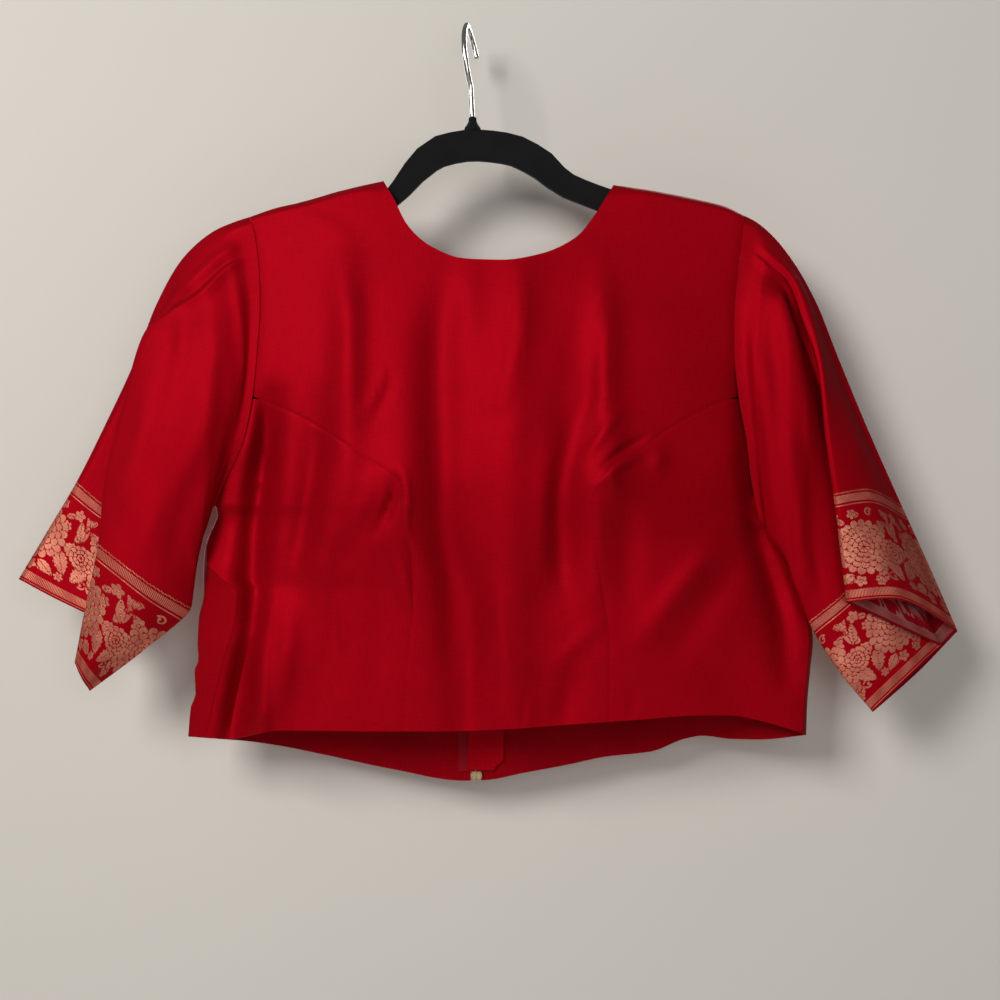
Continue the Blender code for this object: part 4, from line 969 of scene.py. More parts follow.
def bloom(x, y, radii, petals, lean=0.0):
    """A many-petalled bloom: rings of scalloped petals round a small eye."""
    away = np.hypot(x, y)
    angle = np.arctan2(y, x) + lean
    gold = np.full(x.shape, -50.0)
    outer = None
    for ring, (radius, count) in enumerate(zip(radii, petals)):
        turn = angle * count / 2.0 + ring * math.pi / 2.0
        edge = radius * (0.83 + 0.17 * np.abs(np.cos(turn)) ** 0.6)
        inside = edge - away
        width = np.maximum(away, 0.5) * 2.0 / count
        between = np.abs(np.sin(turn + math.pi / 2.0)) * width - RED_LINE * 0.8
        vein = np.abs(np.sin(turn)) * width - 0.13
        vein = np.where(away > radius * 0.8, vein, 9.0)
        petal = np.minimum(np.minimum(inside, between), vein)
        gold = petal if outer is None else np.where(outer > -RED_LINE * 2.0, np.where(
            outer > 0.0, gold, -RED_LINE), petal)
        outer = inside
    return gold, outer


def leaf(x, y, angle, length, width, teeth=0.0, veins=2.6):
    """A pointed leaf from its stalk at 0, 0, with a midrib and slanting veins."""
    along, across = turned_to(x, y, angle)
    t = np.clip(along / length, 0.0, 1.0)
    half = width * np.sin(np.pi * t**0.85) * (1.0 + teeth * np.sin(along * 2.0 * np.pi / 3.2))
    outer = np.minimum(half - np.abs(across), np.minimum(along, length - along))
    rib = np.abs(across) - 0.24
    slant = np.mod(along - 1.1 * np.abs(across), veins)
    line = np.minimum(slant, veins - slant) - 0.2
    return np.minimum(np.minimum(outer, rib), line), outer


def small_flower(x, y, radius, petals=5, lean=0.0):
    """A flower of round petals about a ringed eye."""
    away = np.hypot(x, y)
    angle = np.arctan2(y, x) + lean
    lobes = np.abs(np.cos(angle * petals / 2.0))
    outer = radius * (0.55 + 0.45 * lobes**0.8) - away
    ring = np.abs(away - radius * 0.26) - 0.22
    between = np.where(away > radius * 0.3, lobes * away * 2.0 / petals - 0.12, 9.0)
    return np.minimum(np.minimum(outer, ring), between), outer


def bell(x, y, angle, length, width):
    """A bell flower in side view with a toothed mouth and lines along it."""
    along, across = turned_to(x, y, angle)
    t = np.clip(along / length, 0.0, 1.0)
    half = width * (0.28 + 0.72 * t**1.5)
    mouth = length * (0.88 + 0.12 * np.abs(np.cos(across / width * math.pi * 1.5)))
    outer = np.minimum(half - np.abs(across), np.minimum(along, mouth - along))
    lines = np.abs(np.mod(across / np.maximum(half, 0.1) * 3.0 + 0.5, 1.0) - 0.5) * half / 3.0 - 0.16
    band = np.abs(along - length * 0.42) - 0.26
    return np.minimum(np.minimum(outer, lines), band), outer


def curl(x, y, angle, radius, width, hand=1.0):
    """A curling tendril: a band wound in toward its middle."""
    x, y = turned_to(x, y, angle)
    y = y * hand
    round_it = np.mod(np.arctan2(y, x), 2.0 * np.pi)
    path = radius * (1.0 - 0.62 * round_it / (2.0 * np.pi))
    band = width * (1.0 - 0.45 * round_it / (2.0 * np.pi)) - np.abs(np.hypot(x, y) - path)
    tip = width * 1.5 - np.hypot(x - radius * 0.36, y)
    both = np.maximum(band, tip)
    return both, both


# One repeat, from what lies underneath to what lies on top: x, y, figure, its sizes.
FIGURES = [
    (6.0, 19.5, curl, (200.0, 3.6, 0.8), {}),
    (53.0, 20.0, curl, (-20.0, 3.2, 0.75), {"hand": -1.0}),
    (30.5, 71.0, curl, (40.0, 4.2, 0.9), {}),
    (59.5, 70.0, curl, (140.0, 3.6, 0.8), {"hand": -1.0}),
    (44.0, 41.0, leaf, (-62.0, 18.0, 4.2), {}),
    (48.5, 38.5, leaf, (-112.0, 17.0, 3.6), {}),
    (2.0, 33.0, leaf, (-150.0, 13.0, 3.4), {}),
    (26.0, 68.0, leaf, (28.0, 15.0, 3.8), {"teeth": 0.1}),
    (62.0, 70.0, leaf, (20.0, 14.0, 3.6), {"teeth": 0.1}),
    (14.5, 21.0, leaf, (-8.0, 11.0, 2.6), {}),
    (35.5, 52.0, leaf, (62.0, 21.0, 5.4), {"teeth": 0.12}),
    (60.0, 55.5, leaf, (118.0, 20.0, 5.2), {"teeth": 0.12}),
    (36.5, 47.0, leaf, (8.0, 22.0, 5.8), {"teeth": 0.14}),
    (1.5, 60.5, leaf, (62.0, 14.0, 3.6), {}),
    (28.5, 27.0, leaf, (-30.0, 10.0, 2.4), {}),
    (49.0, 28.5, bell, (-88.0, 11.0, 5.2), {}),
    (22.5, 74.0, small_flower, (4.6,), {}),
    (38.5, 20.5, small_flower, (4.8,), {"lean": 0.4}),
    (22.0, 19.5, small_flower, (4.2,), {"lean": 0.9}),
    (60.0, 31.5, small_flower, (5.2,), {"lean": 0.2}),
    (33.0, 33.5, small_flower, (4.4,), {"petals": 6}),
    (8.0, 75.5, small_flower, (3.8,), {"lean": 0.5}),
    (42.5, 73.0, small_flower, (3.6,), {"petals": 6}),
    (16.0, 47.0, bloom, ((4.6, 8.6, 12.8, 17.4, 22.6), (7, 9, 12, 15, 19)), {}),
    (53.5, 50.0, bloom, ((3.0, 6.2, 9.8), (6, 9, 12)), {"lean": 0.6}),
]


def stripe(y, limits):
    """How far y lies inside a stripe round the border."""
    return np.minimum(y - limits[0], limits[1] - y)


def border_gold(x, y, repeat):
    """The whole border's gold at x, y, and its two hatched stripes."""
    gold = np.full(x.shape, -1.0)
    for cx, cy, figure, sizes, named in FIGURES:
        near = np.mod(x - cx * repeat / REPEAT + repeat / 2.0, repeat) - repeat / 2.0
        figure_gold, outer = figure(near, y - cy, *sizes, **named)
        gold = np.maximum(np.minimum(gold, -outer - 2.0 * RED_LINE), np.minimum(figure_gold, outer))
    gold = np.minimum(gold, stripe(y, FIELD))
    tooth = 0.35 * np.sign(np.sin(x * 2.0 * np.pi / SERRATED_PITCH))
    hatched = np.maximum(stripe(y, WIDE_STRIPE), stripe(y, HEM_STRIPE))
    for band in (0.45 - np.abs(y - SERRATED_Y - tooth), stripe(y, THIN_STRIPE), stripe(y, HEM_LINE),
                 hatched):
        gold = np.maximum(gold, band)
    return gold, hatched


def border_marks(piece, x, y, repeat):
    """Gold, how ribbed it is and its tone, as an attribute of the border's points; the tone is uneven
    thread colour together with painted shine.
    """
    gold, ribbed = border_gold(x, y, repeat)
    # Tone: uneven thread colour mixed with painted shine on the gold; the lighter band along the bloom
    # row at 47 mm is painted shine.
    tone = 0.5 + 0.22 * np.sin(x * 0.31 + 1.7 * np.sin(y * 0.11)) * np.cos(y * 0.23)
    tone = tone + 0.2 * np.exp(-(((y - 47.0) / 12.0) ** 2))
    marks = np.stack((0.5 + gold / 4.0, 0.5 + ribbed / 4.0, tone, np.ones(x.shape)), axis=-1)
    layer = piece.data.color_attributes.new("zari", "FLOAT_COLOR", "POINT")
    layer.data.foreach_set("color", np.clip(marks, 0.0, 1.0).reshape(-1).astype(np.float32))


# Materials. What more than one of them shows is a node group with its own sockets.

def give(tree, node, given):
    """Sets a node's inputs to values, or links them to other nodes' outputs."""
    for socket, value in given.items():
        if isinstance(value, bpy.types.NodeSocket):
            tree.links.new(value, node.inputs[socket])
        else:
            node.inputs[socket].default_value = value
    return node.outputs


def add(tree, kind, x, y, given, **settings):
    """A shader node at x, y; gives its outputs."""
    node = tree.nodes.new(kind if kind.startswith("NodeGroup") else "ShaderNode" + kind)
    node.location = (x, y)
    for name, value in settings.items():
        setattr(node, name, value)
    return give(tree, node, given)


def calculate(tree, x, y, operation, *values):
    """A math node on values or outputs; gives its result."""
    return add(tree, "Math", x, y, dict(enumerate(values)), operation=operation)[0]


def blend_colours(tree, x, y, factor, a, b, blend_type="MIX"):
    """One colour mixed with, or multiplied by, another."""
    return add(tree, "Mix", x, y, {"Factor": factor, "A": a, "B": b}, data_type="RGBA",
               blend_type=blend_type)["Result"]


def relief(tree, strength, distance, height):
    """A bump from a height that changes over the surface."""
    return add(tree, "Bump", -300, -300,
               {"Strength": strength, "Distance": distance, "Height": height})["Normal"]


def new_group(name, inputs, outputs):
    """A node group with named sockets; gives its tree and what its inputs put out."""
    group = bpy.data.node_groups.new(name, "ShaderNodeTree")
    for label, kind in inputs.items():
        group.interface.new_socket(name=label, in_out="INPUT", socket_type="NodeSocket" + kind)
    for label, kind in outputs.items():
        group.interface.new_socket(name=label, in_out="OUTPUT", socket_type="NodeSocket" + kind)
    return group, add(group, "NodeGroupInput", -1300, 0, {})


def new_material(name, plain):
    """A material with plain values on its shader's own sockets; gives it, its tree and its shader."""
    look = bpy.data.materials.new(name)
    look.use_nodes = True
    shader = look.node_tree.nodes["Principled BSDF"]
    give(look.node_tree, shader, plain)
    return look, look.node_tree, shader


def weave_group():
    """Threads two ways, slubs along them and soft wear, at a real scale in metres."""
    group, given = new_group(
        "Weave", {"Vector": "Vector", "Thread": "Float", "Slub": "Float"},
        {"Threads": "Float", "Shade": "Float", "Wear": "Float"})
    across = add(group, "SeparateXYZ", -700, 200, {0: given["Vector"]})
    waves = []
    for axis, y in ((0, 300), (1, 100)):
        turns = calculate(group, -500, y, "DIVIDE", across[axis], given["Thread"])
        angle = calculate(group, -350, y, "MULTIPLY", turns, 2.0 * math.pi)
        waves.append(calculate(group, -200, y, "SINE", angle))
    crossed = calculate(group, 0, 250, "MULTIPLY", *waves)
    threads = calculate(group, 150, 250, "MULTIPLY_ADD", crossed, 0.5, 0.5)
    slubs = []
    for y, scale in ((-150, (90.0, 2600.0, 90.0)), (-410, (2400.0, 70.0, 90.0))):
        drawn_out = add(group, "Mapping", -500, y, {"Vector": given["Vector"], "Scale": scale})[0]
        slubs.append(add(group, "TexNoise", -300, y,
                         {"Vector": drawn_out, "Scale": 1.0, "Detail": 2.0})["Fac"])
    both = calculate(group, -100, -250, "ADD", *slubs)
    centred = calculate(group, 50, -250, "SUBTRACT", both, 1.0)
    uneven = calculate(group, 200, -250, "MULTIPLY", centred, given["Slub"])
    cloud = add(group, "TexNoise", -300, -650,
                {"Vector": given["Vector"], "Scale": 14.0, "Detail": 3.0})["Fac"]
    soft = calculate(group, 200, -500, "MULTIPLY_ADD", cloud, 0.35, 0.82)
    shaded = calculate(group, 400, -300, "ADD", soft, uneven)
    add(group, "NodeGroupOutput", 700, 0, {"Threads": threads, "Shade": shaded, "Wear": cloud})
    return group


def zari_group():
    """Gold on a silk ground where the border's marks say; the ground shows between its floats."""
    group, given = new_group("Zari", {
        "Marks": "Color", "Vector": "Vector", "Ground": "Color", "Ground Roughness": "Float",
        "Dull Gold": "Color", "Bright Gold": "Color",
    }, {"Color": "Color", "Roughness": "Float", "Metallic": "Float", "Height": "Float"})
    marks = add(group, "SeparateColor", -1000, 500, {0: given["Marks"]})
    gold = add(group, "MapRange", -800, 600, {"Value": marks[0], "From Min": 0.47, "From Max": 0.53})[0]
    ribbed = add(group, "MapRange", -800, 350,
                 {"Value": marks[1], "From Min": 0.49, "From Max": 0.51})[0]
    # Fine floats run up and down the gold; the two stripes show them as open hatching.
    floats = add(group, "TexWave", -800, -500,
                 {"Vector": given["Vector"], "Scale": 330.0, "Distortion": 0.6, "Detail": 1.0},
                 wave_type="BANDS", bands_direction="X")
    hatch = add(group, "MapRange", -600, -500,
                {"Value": floats["Fac"], "From Min": 0.25, "From Max": 0.55, "To Min": 0.15})[0]
    open_work = add(group, "Mix", -450, -400, {"Factor": ribbed, "A": 1.0, "B": hatch},
                    data_type="FLOAT")["Result"]
    mask = calculate(group, -300, 500, "MULTIPLY", gold, open_work)
    # The tone runs from dull to bright gold: the threads' uneven colour together with painted shade and
    # painted shine on the metal.
    metal = blend_colours(group, -500, 700, marks[2], given["Dull Gold"], given["Bright Gold"])
    floated = blend_colours(group, -300, 800, 0.35, metal, floats["Color"], "MULTIPLY")
    colour = blend_colours(group, -150, 600, mask, given["Ground"], floated)
    rough = add(group, "Mix", -150, 350, {"Factor": mask, "A": given["Ground Roughness"], "B": 0.34},
                data_type="FLOAT")["Result"]
    metallic = calculate(group, -150, 200, "MULTIPLY_ADD", mask, 0.4, SATIN)
    height = calculate(group, -300, -150, "MULTIPLY_ADD", floats["Fac"], 0.4, mask)
    add(group, "NodeGroupOutput", 200, 0,
        {"Color": colour, "Roughness": rough, "Metallic": metallic, "Height": height})
    return group


def scratch_group():
    """Fine scratches along a metal piece, with the darker, duller metal between them."""
    group, given = new_group("Scratches", {
        "Vector": "Vector", "Grain": "Vector", "Dark": "Color", "Light": "Color",
        "Least Roughness": "Float"}, {"Color": "Color", "Roughness": "Float", "Height": "Float"})
    drawn_out = add(group, "Mapping", -800, 0, {"Vector": given["Vector"], "Scale": given["Grain"]})[0]
    scratch = add(group, "TexNoise", -600, 0, {"Vector": drawn_out, "Scale": 1.0, "Detail": 4.0})["Fac"]
    colour = blend_colours(group, -400, 200, scratch, given["Dark"], given["Light"])
    rough = calculate(group, -400, -50, "MULTIPLY_ADD", scratch, 0.25, given["Least Roughness"])
    add(group, "NodeGroupOutput", 0, 0, {"Color": colour, "Roughness": rough, "Height": scratch})
    return group


def mottle_group():
    """Paint of a barely uneven tone."""
    group, given = new_group("Mottle", {"Vector": "Vector", "Dark": "Color", "Light": "Color"},
                             {"Color": "Color"})
    cloud = add(group, "TexNoise", -600, 0, {"Vector": given["Vector"], "Scale": 3.0})["Fac"]
    colour = blend_colours(group, -400, 0, cloud, given["Dark"], given["Light"])
    add(group, "NodeGroupOutput", 0, 0, {"Color": colour})
    return group


SILK_RED = (0.23, 0.0003, 0.0042)
SILK_SHINE = (1.0, 0.04, 0.07)
SATIN = 0.3              # how far the silk's gloss takes its own colour
WEAVE = weave_group()
ZARI = zari_group()
SCRATCHES = scratch_group()
MOTTLE = mottle_group()


def woven(name, base, roughness, satin, sheen, shine, thread, slub):
    """A cloth's material and what the weave puts out for it, before it reaches the shader."""
    look, tree, shader = new_material(name, {
        "Sheen Weight": sheen, "Sheen Roughness": 0.4, "Sheen Tint": (*shine, 1.0),
        "Specular IOR Level": 0.22, "Specular Tint": (*shine, 1.0), "Metallic": satin})
    place = add(tree, "UVMap", -1200, 0, {}, uv_map="cloth")["UV"]
    weave = add(tree, "Group", -900, 0, {"Vector": place, "Thread": thread, "Slub": slub},
                node_tree=WEAVE)
    colour = blend_colours(tree, -500, 200, 1.0, (*base, 1.0), weave["Shade"], "MULTIPLY")
    rough = calculate(tree, -500, -100, "MULTIPLY_ADD", weave["Wear"], 0.12, roughness - 0.06)
    return look, tree, shader, place, weave["Threads"], colour, rough


def cloth_material(name, base, roughness, satin, sheen, shine, thread, slub, bump):
    """Woven cloth: thread relief, slubs and gently uneven colour."""
    look, tree, shader, _, threads, colour, rough = woven(
        name, base, roughness, satin, sheen, shine, thread, slub)
    give(tree, shader, {
        "Base Color": colour, "Roughness": rough, "Normal": relief(tree, bump, 0.0002, threads)})
    return look


def border_material(name, base, dull_gold, bright_gold, glossy):
    """The woven border: copper-gold zari figures floated on red silk."""
    look, tree, shader, place, _, colour, rough = woven(
        name, base, 0.48, SATIN, 0.03, SILK_SHINE, 0.0005, 0.35)
    marks = add(tree, "Attribute", -1200, 500, {}, attribute_name="zari")["Color"]
    zari = add(tree, "Group", -300, 400, {
        "Marks": marks, "Vector": place, "Ground": colour, "Ground Roughness": rough,
        "Dull Gold": (*dull_gold, 1.0), "Bright Gold": (*bright_gold, 1.0)}, node_tree=ZARI)
    give(tree, shader, {
        "Base Color": zari["Color"], "Roughness": zari["Roughness"],
        "Normal": relief(tree, 0.6, 0.0003, zari["Height"])})
    if glossy:
        give(tree, shader, {"Metallic": zari["Metallic"]})
    return look


def metal_material(name, base, roughness, grain, bump):
    """Metal with fine scratches and handling wear."""
    look, tree, shader = new_material(name, {"Metallic": 1.0})
    place = add(tree, "TexCoord", -1000, 0, {})["Object"]
    worn = add(tree, "Group", -700, 0, {
        "Vector": place, "Grain": (grain, grain, grain * 0.15),
        "Dark": (*[c * 0.72 for c in base], 1.0), "Light": (*base, 1.0),
        "Least Roughness": roughness - 0.12}, node_tree=SCRATCHES)
    give(tree, shader, {
        "Base Color": worn["Color"], "Roughness": worn["Roughness"],
        "Normal": relief(tree, bump, 0.0002, worn["Height"])})
    return look


def flock_material():
    """Black flock: dense short fibres, paler where they are rubbed flat."""
    look, tree, shader = new_material("Black flock", {
        "Sheen Weight": 0.12, "Sheen Roughness": 0.35, "Specular IOR Level": 0.1})
    place = add(tree, "TexCoord", -1000, 0, {})["Object"]
    fibres = add(tree, "TexNoise", -750, 150, {"Vector": place, "Scale": 2600.0, "Detail": 2.0})["Fac"]
    rubbed = add(tree, "TexNoise", -750, -150, {"Vector": place, "Scale": 45.0, "Detail": 3.0})["Fac"]
    give(tree, shader, {
        "Base Color": blend_colours(
            tree, -500, 200, rubbed, (0.0028, 0.0026, 0.0030, 1.0), (0.0085, 0.0080, 0.0090, 1.0)),
        "Roughness": calculate(tree, -500, -50, "MULTIPLY_ADD", rubbed, 0.15, 0.85),
        "Normal": relief(tree, 0.7, 0.0003, fibres)})
    return look


def painted_material(name, base):
    """Matt paint for the wall and the floor."""
    look, tree, shader = new_material(name, {"Roughness": 0.85})
    place = add(tree, "TexCoord", -800, 0, {})["Object"]
    tone = add(tree, "Group", -500, 0, {
        "Vector": place, "Dark": (*[c * 0.97 for c in base], 1.0),
        "Light": (*[c * 1.03 for c in base], 1.0)}, node_tree=MOTTLE)
    give(tree, shader, {"Base Color": tone["Color"]})
    return look


silk = cloth_material("Red silk", SILK_RED, 0.54, SATIN, 0.0, SILK_SHINE, 0.00045, 0.45, 0.2)
# The reverse face is duller silk, and its darker base is also painted shade for the blouse's inside.
silk_reverse_and_shade = cloth_material(
    "Red silk reverse and shade", (0.17, 0.0003, 0.003), 0.6, 0.2, 0.0, SILK_SHINE, 0.00045, 0.5, 0.22)
tape_cloth = cloth_material(
    "Zip tape", (0.16, 0.002, 0.006), 0.7, 0.0, 0.2, (1.0, 0.2, 0.2), 0.0009, 0.3, 0.6)
# The dull and bright golds are partly the threads' own colour range and partly the gold in painted
# shade and painted shine.
border = border_material("Zari border", SILK_RED, (0.36, 0.070, 0.052), (0.70, 0.26, 0.17), True)
border_reverse = border_material(
    "Zari border reverse", (0.16, 0.001, 0.005), (0.12, 0.018, 0.018), (0.32, 0.13, 0.11), False)
flock = flock_material()
chrome = metal_material("Chrome wire", (0.72, 0.70, 0.67), 0.2, 900.0, 0.05)
brass = metal_material("Antique brass", (0.42, 0.30, 0.16), 0.42, 1400.0, 0.25)

# The hanger's bar and collar and the zip's slider and tab keep their own shapes.
for node, look in (
        ("hanger_bar", flock), ("hanger_collar", flock),
        ("zip_slider", brass), ("zip_pull_tab", brass)):
    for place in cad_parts[node].material_slots:
        place.link = "OBJECT"
        place.material = look

# The silk pieces of the front and back.
BUST_LINES = [[(u, v) for v, u in seam] for seam in (BUST_SEAM_LEFT, BUST_SEAM_RIGHT)]
ARM_LINES = [
    [(smooth(armhole, v)[0], v) for v in np.linspace(SLEEVE_TOP_V, armhole[-1][0], 30)]
    for armhole in (ARMHOLE_LEFT, ARMHOLE_RIGHT)]

for name, grid, flat in (
        ("front_centre", front_centre_grid(), (0.40, 0.43)),
        ("front_side_left", front_side_grid(True), (0.20, 0.30)),
        ("front_side_right", front_side_grid(False), (0.20, 0.30))):
    grid = creased(grid, FRONT_CREASES)
    for line in BUST_LINES:
        grid = near_edge(grid, line, *SEAM_DIPS["bust"])
    for line in ARM_LINES:
        grid = near_edge(grid, line, *SEAM_DIPS["front arm"])
    cloth(name + "_cloth", places(grid), flat_uvs(grid), [silk, silk_reverse_and_shade], name)

for name, left, flat in (("back_left", True, (0.25, 0.45)), ("back_right", False, (0.28, 0.45))):
    grid = creased(back_grid(left), BACK_CREASES, False)
    for line in ARM_LINES:
        grid = near_edge(grid, line, *SEAM_DIPS["back arm"], False)
    cloth(name + "_cloth", places(grid), flat_uvs(grid), [silk, silk_reverse_and_shade], name,
          flip=left)


# The sleeves and their woven borders.

def across_tube(points):
    """Normals at a tube's points."""
    ahead = np.roll(points, -1, axis=1) - np.roll(points, 1, axis=1)
    normal = np.cross(np.gradient(points, axis=0), ahead)
    normal /= np.linalg.norm(normal, axis=2, keepdims=True)
    return normal


def outward(points):
    """Whether a tube's faces point outwards in their first order."""
    ahead = np.roll(points, -1, axis=1)[:-1] - points[:-1]
    normal = np.cross(points[1:] - points[:-1], ahead)
    return (normal * (points[:-1] - points[:-1].mean(axis=1, keepdims=True))).sum() > 0.0


def sleeve(name, sections, left, creases):
    """A sleeve from the armhole to the border's seam, with creases in its near layer."""
    stations = sleeve_stations(sections, left, ARM_SPLIT)
    steps = np.concatenate((
        np.linspace(0.0, 1.0, HEAD_LINES)[:-1], np.linspace(1.0, BAND_ROW, SLEEVE_LINES)))
    grid = sleeve_rows(stations, steps)
    near = grid[..., 2] < grid[..., 2].mean(axis=1, keepdims=True)
    grid[..., 2] = np.where(near, creased(grid, creases)[..., 2], grid[..., 2])
    points = places(grid)
    cloth(name + "_cloth", points, tube_uvs(points, points.shape[1] + 1), [silk, silk_reverse_and_shade], name,
          flip=not outward(points), closed=True)


def sleeve_band(name, sections, left, shift):
    """The woven border of a sleeve, its outer side fine enough for the pattern."""
    stations = sleeve_stations(sections, left, BAND_SPLIT)
    outer = places(evenly(
        sleeve_rows(stations, np.linspace(BAND_ROW, len(sections), BAND_LINES)), BAND_COLUMNS))
    girth = np.linalg.norm(np.roll(outer, -1, axis=1) - outer, axis=2).sum(axis=1).mean() * 1000.0
    down = np.linalg.norm(np.diff(outer, axis=0), axis=2)
    depth = np.concatenate((np.zeros((1, BAND_COLUMNS)), np.cumsum(down, axis=0)))
    depth *= BAND_DEPTH / depth[-1]
    face_out = outward(outer)
    normal = across_tube(outer) if face_out else -across_tube(outer)
    picks = np.linspace(BAND_LINES - 1, 0, REVERSE_LINES).round().astype(int)
    points = np.concatenate((outer, (outer - normal * SILK_SHOWN / 1000.0)[picks]))
    x = np.tile(np.arange(BAND_COLUMNS + 1) * girth / BAND_COLUMNS, (len(points), 1))
    y = np.concatenate((depth, depth[picks]))
    uvs = np.stack((x, -np.concatenate((y, y[:, :1]), axis=1)), axis=-1) / 1000.0
    piece = surface(name + "_cloth", points, [border, border_reverse], uvs, closed=True,
                    back_rows=REVERSE_LINES, flip=not face_out)
    border_marks(piece, x[:, :-1] + shift, y, girth / round(girth / REPEAT))
    finish_cloth(piece, name, outer, True)


for side, sections, flat, band_flat, shift in (
        ("left", SLEEVE_LEFT, (0.40, 0.33), (0.30, 0.10), 20.0),
        ("right", SLEEVE_RIGHT, (0.40, 0.33), (0.31, 0.10), 4.0)):
    sleeve("sleeve_" + side, sections, side == "left", SLEEVE_CREASES[side])
    sleeve_band("sleeve_band_" + side, sections, side == "left", shift)


# The zip: its tapes, the guard behind them, its teeth and the box at its foot.

def strip_grid(edges, ends, inset, columns, corner=0.0):
    """A flat strip inside the back, by its edges across and its ends down the back."""
    grid = np.zeros((STRIP_ROWS + 1, columns + 1, 3))
    for j in range(STRIP_ROWS + 1):
        v = mix(ends[0], ends[1], j / STRIP_ROWS)
        taken_off = corner * ease(ends[1] - GUARD_CORNER, ends[1], v)
        for i in range(columns + 1):
            u = mix(edges[0], edges[1] - taken_off, i / columns)
            grid[j, i] = (u, v, back_y(u, v) - inset)
    return grid


tape_inset = SILK + INSIDE_GAP
guard_inset = tape_inset + TAPE_WALL + INSIDE_GAP
for name, edges, ends, inset, columns, corner, look, flat, slot in (
        ("zip_tape_left", (ZIP_U - TAPE_WIDTH, ZIP_U - TAPE_HALF_GAP), TAPE_ENDS, tape_inset, 10, 0.0,
         tape_cloth, (0.0135, 0.27), "zip_tape"),
        ("zip_tape_right", (ZIP_U + TAPE_HALF_GAP, ZIP_U + TAPE_WIDTH), TAPE_ENDS, tape_inset, 10, 0.0,
         tape_cloth, (0.0135, 0.27), "zip_tape"),
        ("zip_guard", GUARD_EDGES, GUARD_ENDS, guard_inset, 14, 0.8 * GUARD_CORNER,
         silk, (0.027, 0.262), "red_silk")):
    grid = strip_grid(edges, ends, inset, columns, corner)
    cloth(name + "_cloth", places(grid), flat_uvs(grid), [look], name, flip=True)


def only(piece):
    """Selects one object alone and makes it active."""
    bpy.ops.object.select_all(action="DESELECT")
    piece.select_set(True)
    bpy.context.view_layer.objects.active = piece


def new_block(centre, size, rounding):
    """A small block at its place and size, its edges rounded."""
    bpy.ops.object.select_all(action="DESELECT")
    bpy.ops.mesh.primitive_cube_add(size=1.0, location=centre, scale=size)
    block = bpy.context.active_object
    bpy.ops.object.transform_apply(location=True, rotation=True, scale=True)
    bpy.ops.object.mode_set(mode="EDIT")
    bpy.ops.mesh.select_all(action="SELECT")
    bpy.ops.mesh.bevel(offset=rounding, segments=2, affect="EDGES")
    bpy.ops.object.mode_set(mode="OBJECT")
    return block


def one_piece(name, blocks, look):
    """Blocks joined into one piece of the blouse's body."""
    bpy.ops.object.select_all(action="DESELECT")
    for block in blocks:
        block.select_set(True)
    piece = blocks[0]
    bpy.context.view_layer.objects.active = piece
    bpy.ops.object.join()
    piece.name = piece.data.name = name
    piece.data.materials.append(look)
    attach(piece, "blouse")
    return piece


tooth_spots = []
for k in range(int((TAPE_ENDS[1] - TEETH_END_GAP - TEETH_TOP_V) * UNIT / TOOTH_PITCH)):
    v = TEETH_TOP_V + k * TOOTH_PITCH / UNIT
    side = -TOOTH_SIDE if k % 2 else TOOTH_SIDE
    tooth_spots.append(at(ZIP_U + side, v, back_y(ZIP_U, v) - tape_inset + TOOTH_PROUD))
teeth = [new_block(tooth_spots[0], TOOTH_SIZE, TOOTH_ROUNDING)]
for spot in tooth_spots[1:]:
    tooth = teeth[0].copy()
    tooth.data = teeth[0].data.copy()
    tooth.data.transform(Matrix.Translation(spot - tooth_spots[0]))
    bpy.context.scene.collection.objects.link(tooth)
    teeth.append(tooth)
one_piece("zip_teeth", teeth, brass)

# The box is a frame of rails with one down its middle and a floor behind them.
bx, by, bz = at(*BOX_PLACE, back_y(*BOX_PLACE) - tape_inset - BOX_SIZE[1] / 2.0)
w, d, h = (side / 1000.0 for side in BOX_SIZE)
rails = [
    ((bx - (w - BOX_RAIL) / 2.0, by, bz), (BOX_RAIL, d, h)),
    ((bx + (w - BOX_RAIL) / 2.0, by, bz), (BOX_RAIL, d, h)),
    ((bx, by, bz), (BOX_RAIL, d, h)),
    ((bx, by, bz + (h - BOX_RAIL) / 2.0), (w, d, BOX_RAIL)),
    ((bx, by, bz - (h - BOX_RAIL) / 2.0), (w, d, BOX_RAIL)),
    ((bx, by + d * 0.25, bz), (w - BOX_RAIL, d * 0.4, h - BOX_RAIL)),
]
box = one_piece(
    "zip_box_metal", [new_block(*rail, BOX_ROUNDING) for rail in rails], brass)
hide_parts("zip_box")

# The hanger's hook: a round wire drawn along its path, then made a mesh.
path = bpy.data.curves.new("hook_wire", "CURVE")
path.dimensions = "3D"
path.bevel_depth = WIRE_RADIUS / 1000.0
path.bevel_resolution = WIRE_ROUNDNESS
path.use_fill_caps = True
knots = [(i, *row) for i, row in enumerate(HOOK)]
line = path.splines.new("POLY")
line.points.add(WIRE_POINTS - 1)
for point, t in zip(line.points, np.linspace(0.0, len(HOOK) - 1.0, WIRE_POINTS)):
    point.co = (*at(*smooth(knots, t)), 1.0)
hook = bpy.data.objects.new("hook_wire", path)
bpy.context.scene.collection.objects.link(hook)
only(hook)
bpy.ops.object.convert(target="MESH")
hook = bpy.context.active_object
bpy.ops.object.mode_set(mode="EDIT")
bpy.ops.mesh.select_mode(type="FACE")
bpy.ops.mesh.select_all(action="SELECT")
bpy.ops.mesh.remove_doubles(threshold=0.00001)
bpy.ops.mesh.normals_make_consistent(inside=False)
bpy.ops.object.mode_set(mode="OBJECT")
bpy.ops.object.shade_smooth()
hook.data.materials.clear()
hook.data.materials.append(chrome)
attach(hook, "blouse")
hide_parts("hanger_hook")


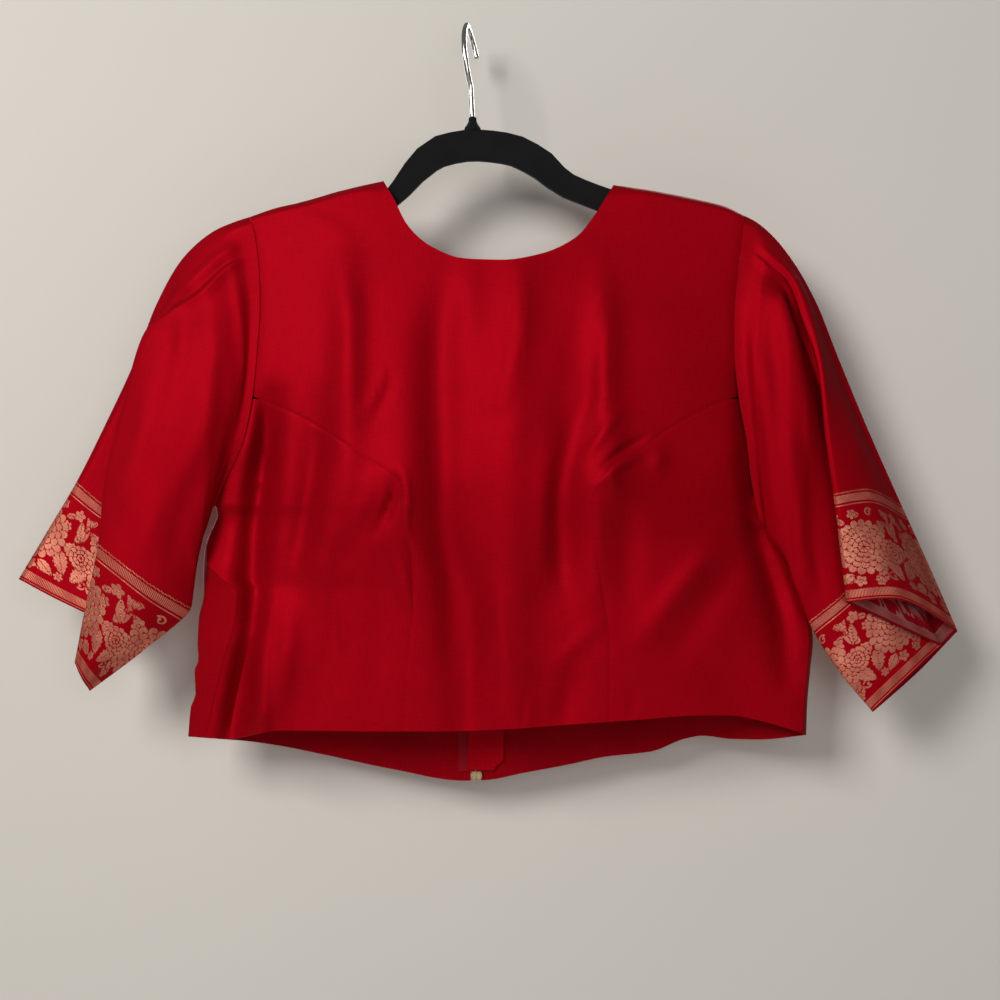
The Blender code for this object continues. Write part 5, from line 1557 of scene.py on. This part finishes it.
# The room: a pale wall behind, a pale floor, a camera at the photograph's place and soft lights.

def board(name, centre, turn, size, look):
    """A flat wall or floor of the room."""
    bpy.ops.object.select_all(action="DESELECT")
    bpy.ops.mesh.primitive_plane_add(size=1.0, location=centre, rotation=(turn, 0.0, 0.0))
    piece = bpy.context.active_object
    piece.name = piece.data.name = name
    piece.scale = (*size, 1.0)
    bpy.ops.object.transform_apply(location=True, rotation=True, scale=True)
    piece.data.materials.append(look)
    return piece


# The wall is seen from the front only, and throws nothing back on the blouse.
wall_look = painted_material("Pale wall", (0.46, 0.442, 0.408))
tree = wall_look.node_tree
facing = add(tree, "NewGeometry", -200, 300, {})["Backfacing"]
clear = add(tree, "BsdfTransparent", 0, 300, {})[0]
painted = tree.nodes["Principled BSDF"].outputs[0]
either = add(tree, "MixShader", 300, 200, {0: facing, 1: painted, 2: clear})[0]
give(tree, tree.nodes["Material Output"], {"Surface": either})
wall = board("backdrop", (0.0, WALL_Y, (FLOOR_Z + WALL_TOP) / 2.0), math.pi / 2.0,
             (5.0, WALL_TOP - FLOOR_Z), wall_look)
wall.visible_shadow = False
wall.visible_diffuse = False
wall.visible_glossy = False
board("floor", (0.0, 0.0, FLOOR_Z), 0.0, (8.0, 8.0), painted_material("Pale floor", (0.62, 0.60, 0.57)))

lens = bpy.data.cameras.new("View")
lens.sensor_width = 36.0
lens.lens = lens.sensor_width * EYE_DISTANCE / (1000.0 * UNIT)
lens.clip_start = 0.02
viewer = bpy.data.objects.new("View", lens)
bpy.context.scene.collection.objects.link(viewer)
eye = at(EYE_U, EYE_V, 0.0)
viewer.location = (eye.x, eye.y - EYE_DISTANCE / 1000.0, eye.z)
viewer.rotation_euler = (math.pi / 2.0, 0.0, 0.0)
bpy.context.scene.camera = viewer


def soft_light(name, place, size, power, tint):
    """A square area light turned to the blouse's middle."""
    data = bpy.data.lights.new(name, "AREA")
    data.size = size
    data.energy = power
    data.color = tint
    lamp = bpy.data.objects.new(name, data)
    bpy.context.scene.collection.objects.link(lamp)
    lamp.location = place
    lamp.rotation_euler = (Vector(MIDDLE) - Vector(place)).to_track_quat("-Z", "Y").to_euler()


soft_light("Key", (-1.1, -1.9, 0.6), 0.8, 56.0, (1.0, 0.97, 0.93))
soft_light("Front fill", (0.4, -2.4, -0.2), 1.2, 18.0, (0.95, 0.97, 1.0))
soft_light("Back", (0.9, 2.2, 0.7), 0.9, 34.0, (1.0, 0.98, 0.96))
soft_light("Back fill", (-1.2, 2.0, -0.1), 1.4, 16.0, (0.97, 0.98, 1.0))

sky = bpy.data.worlds.new("Room")
sky.use_nodes = True
give(sky.node_tree, sky.node_tree.nodes["Background"],
     {"Color": (0.80, 0.79, 0.77, 1.0), "Strength": 0.17})
bpy.context.scene.world = sky
bpy.context.scene.view_settings.view_transform = "Standard"
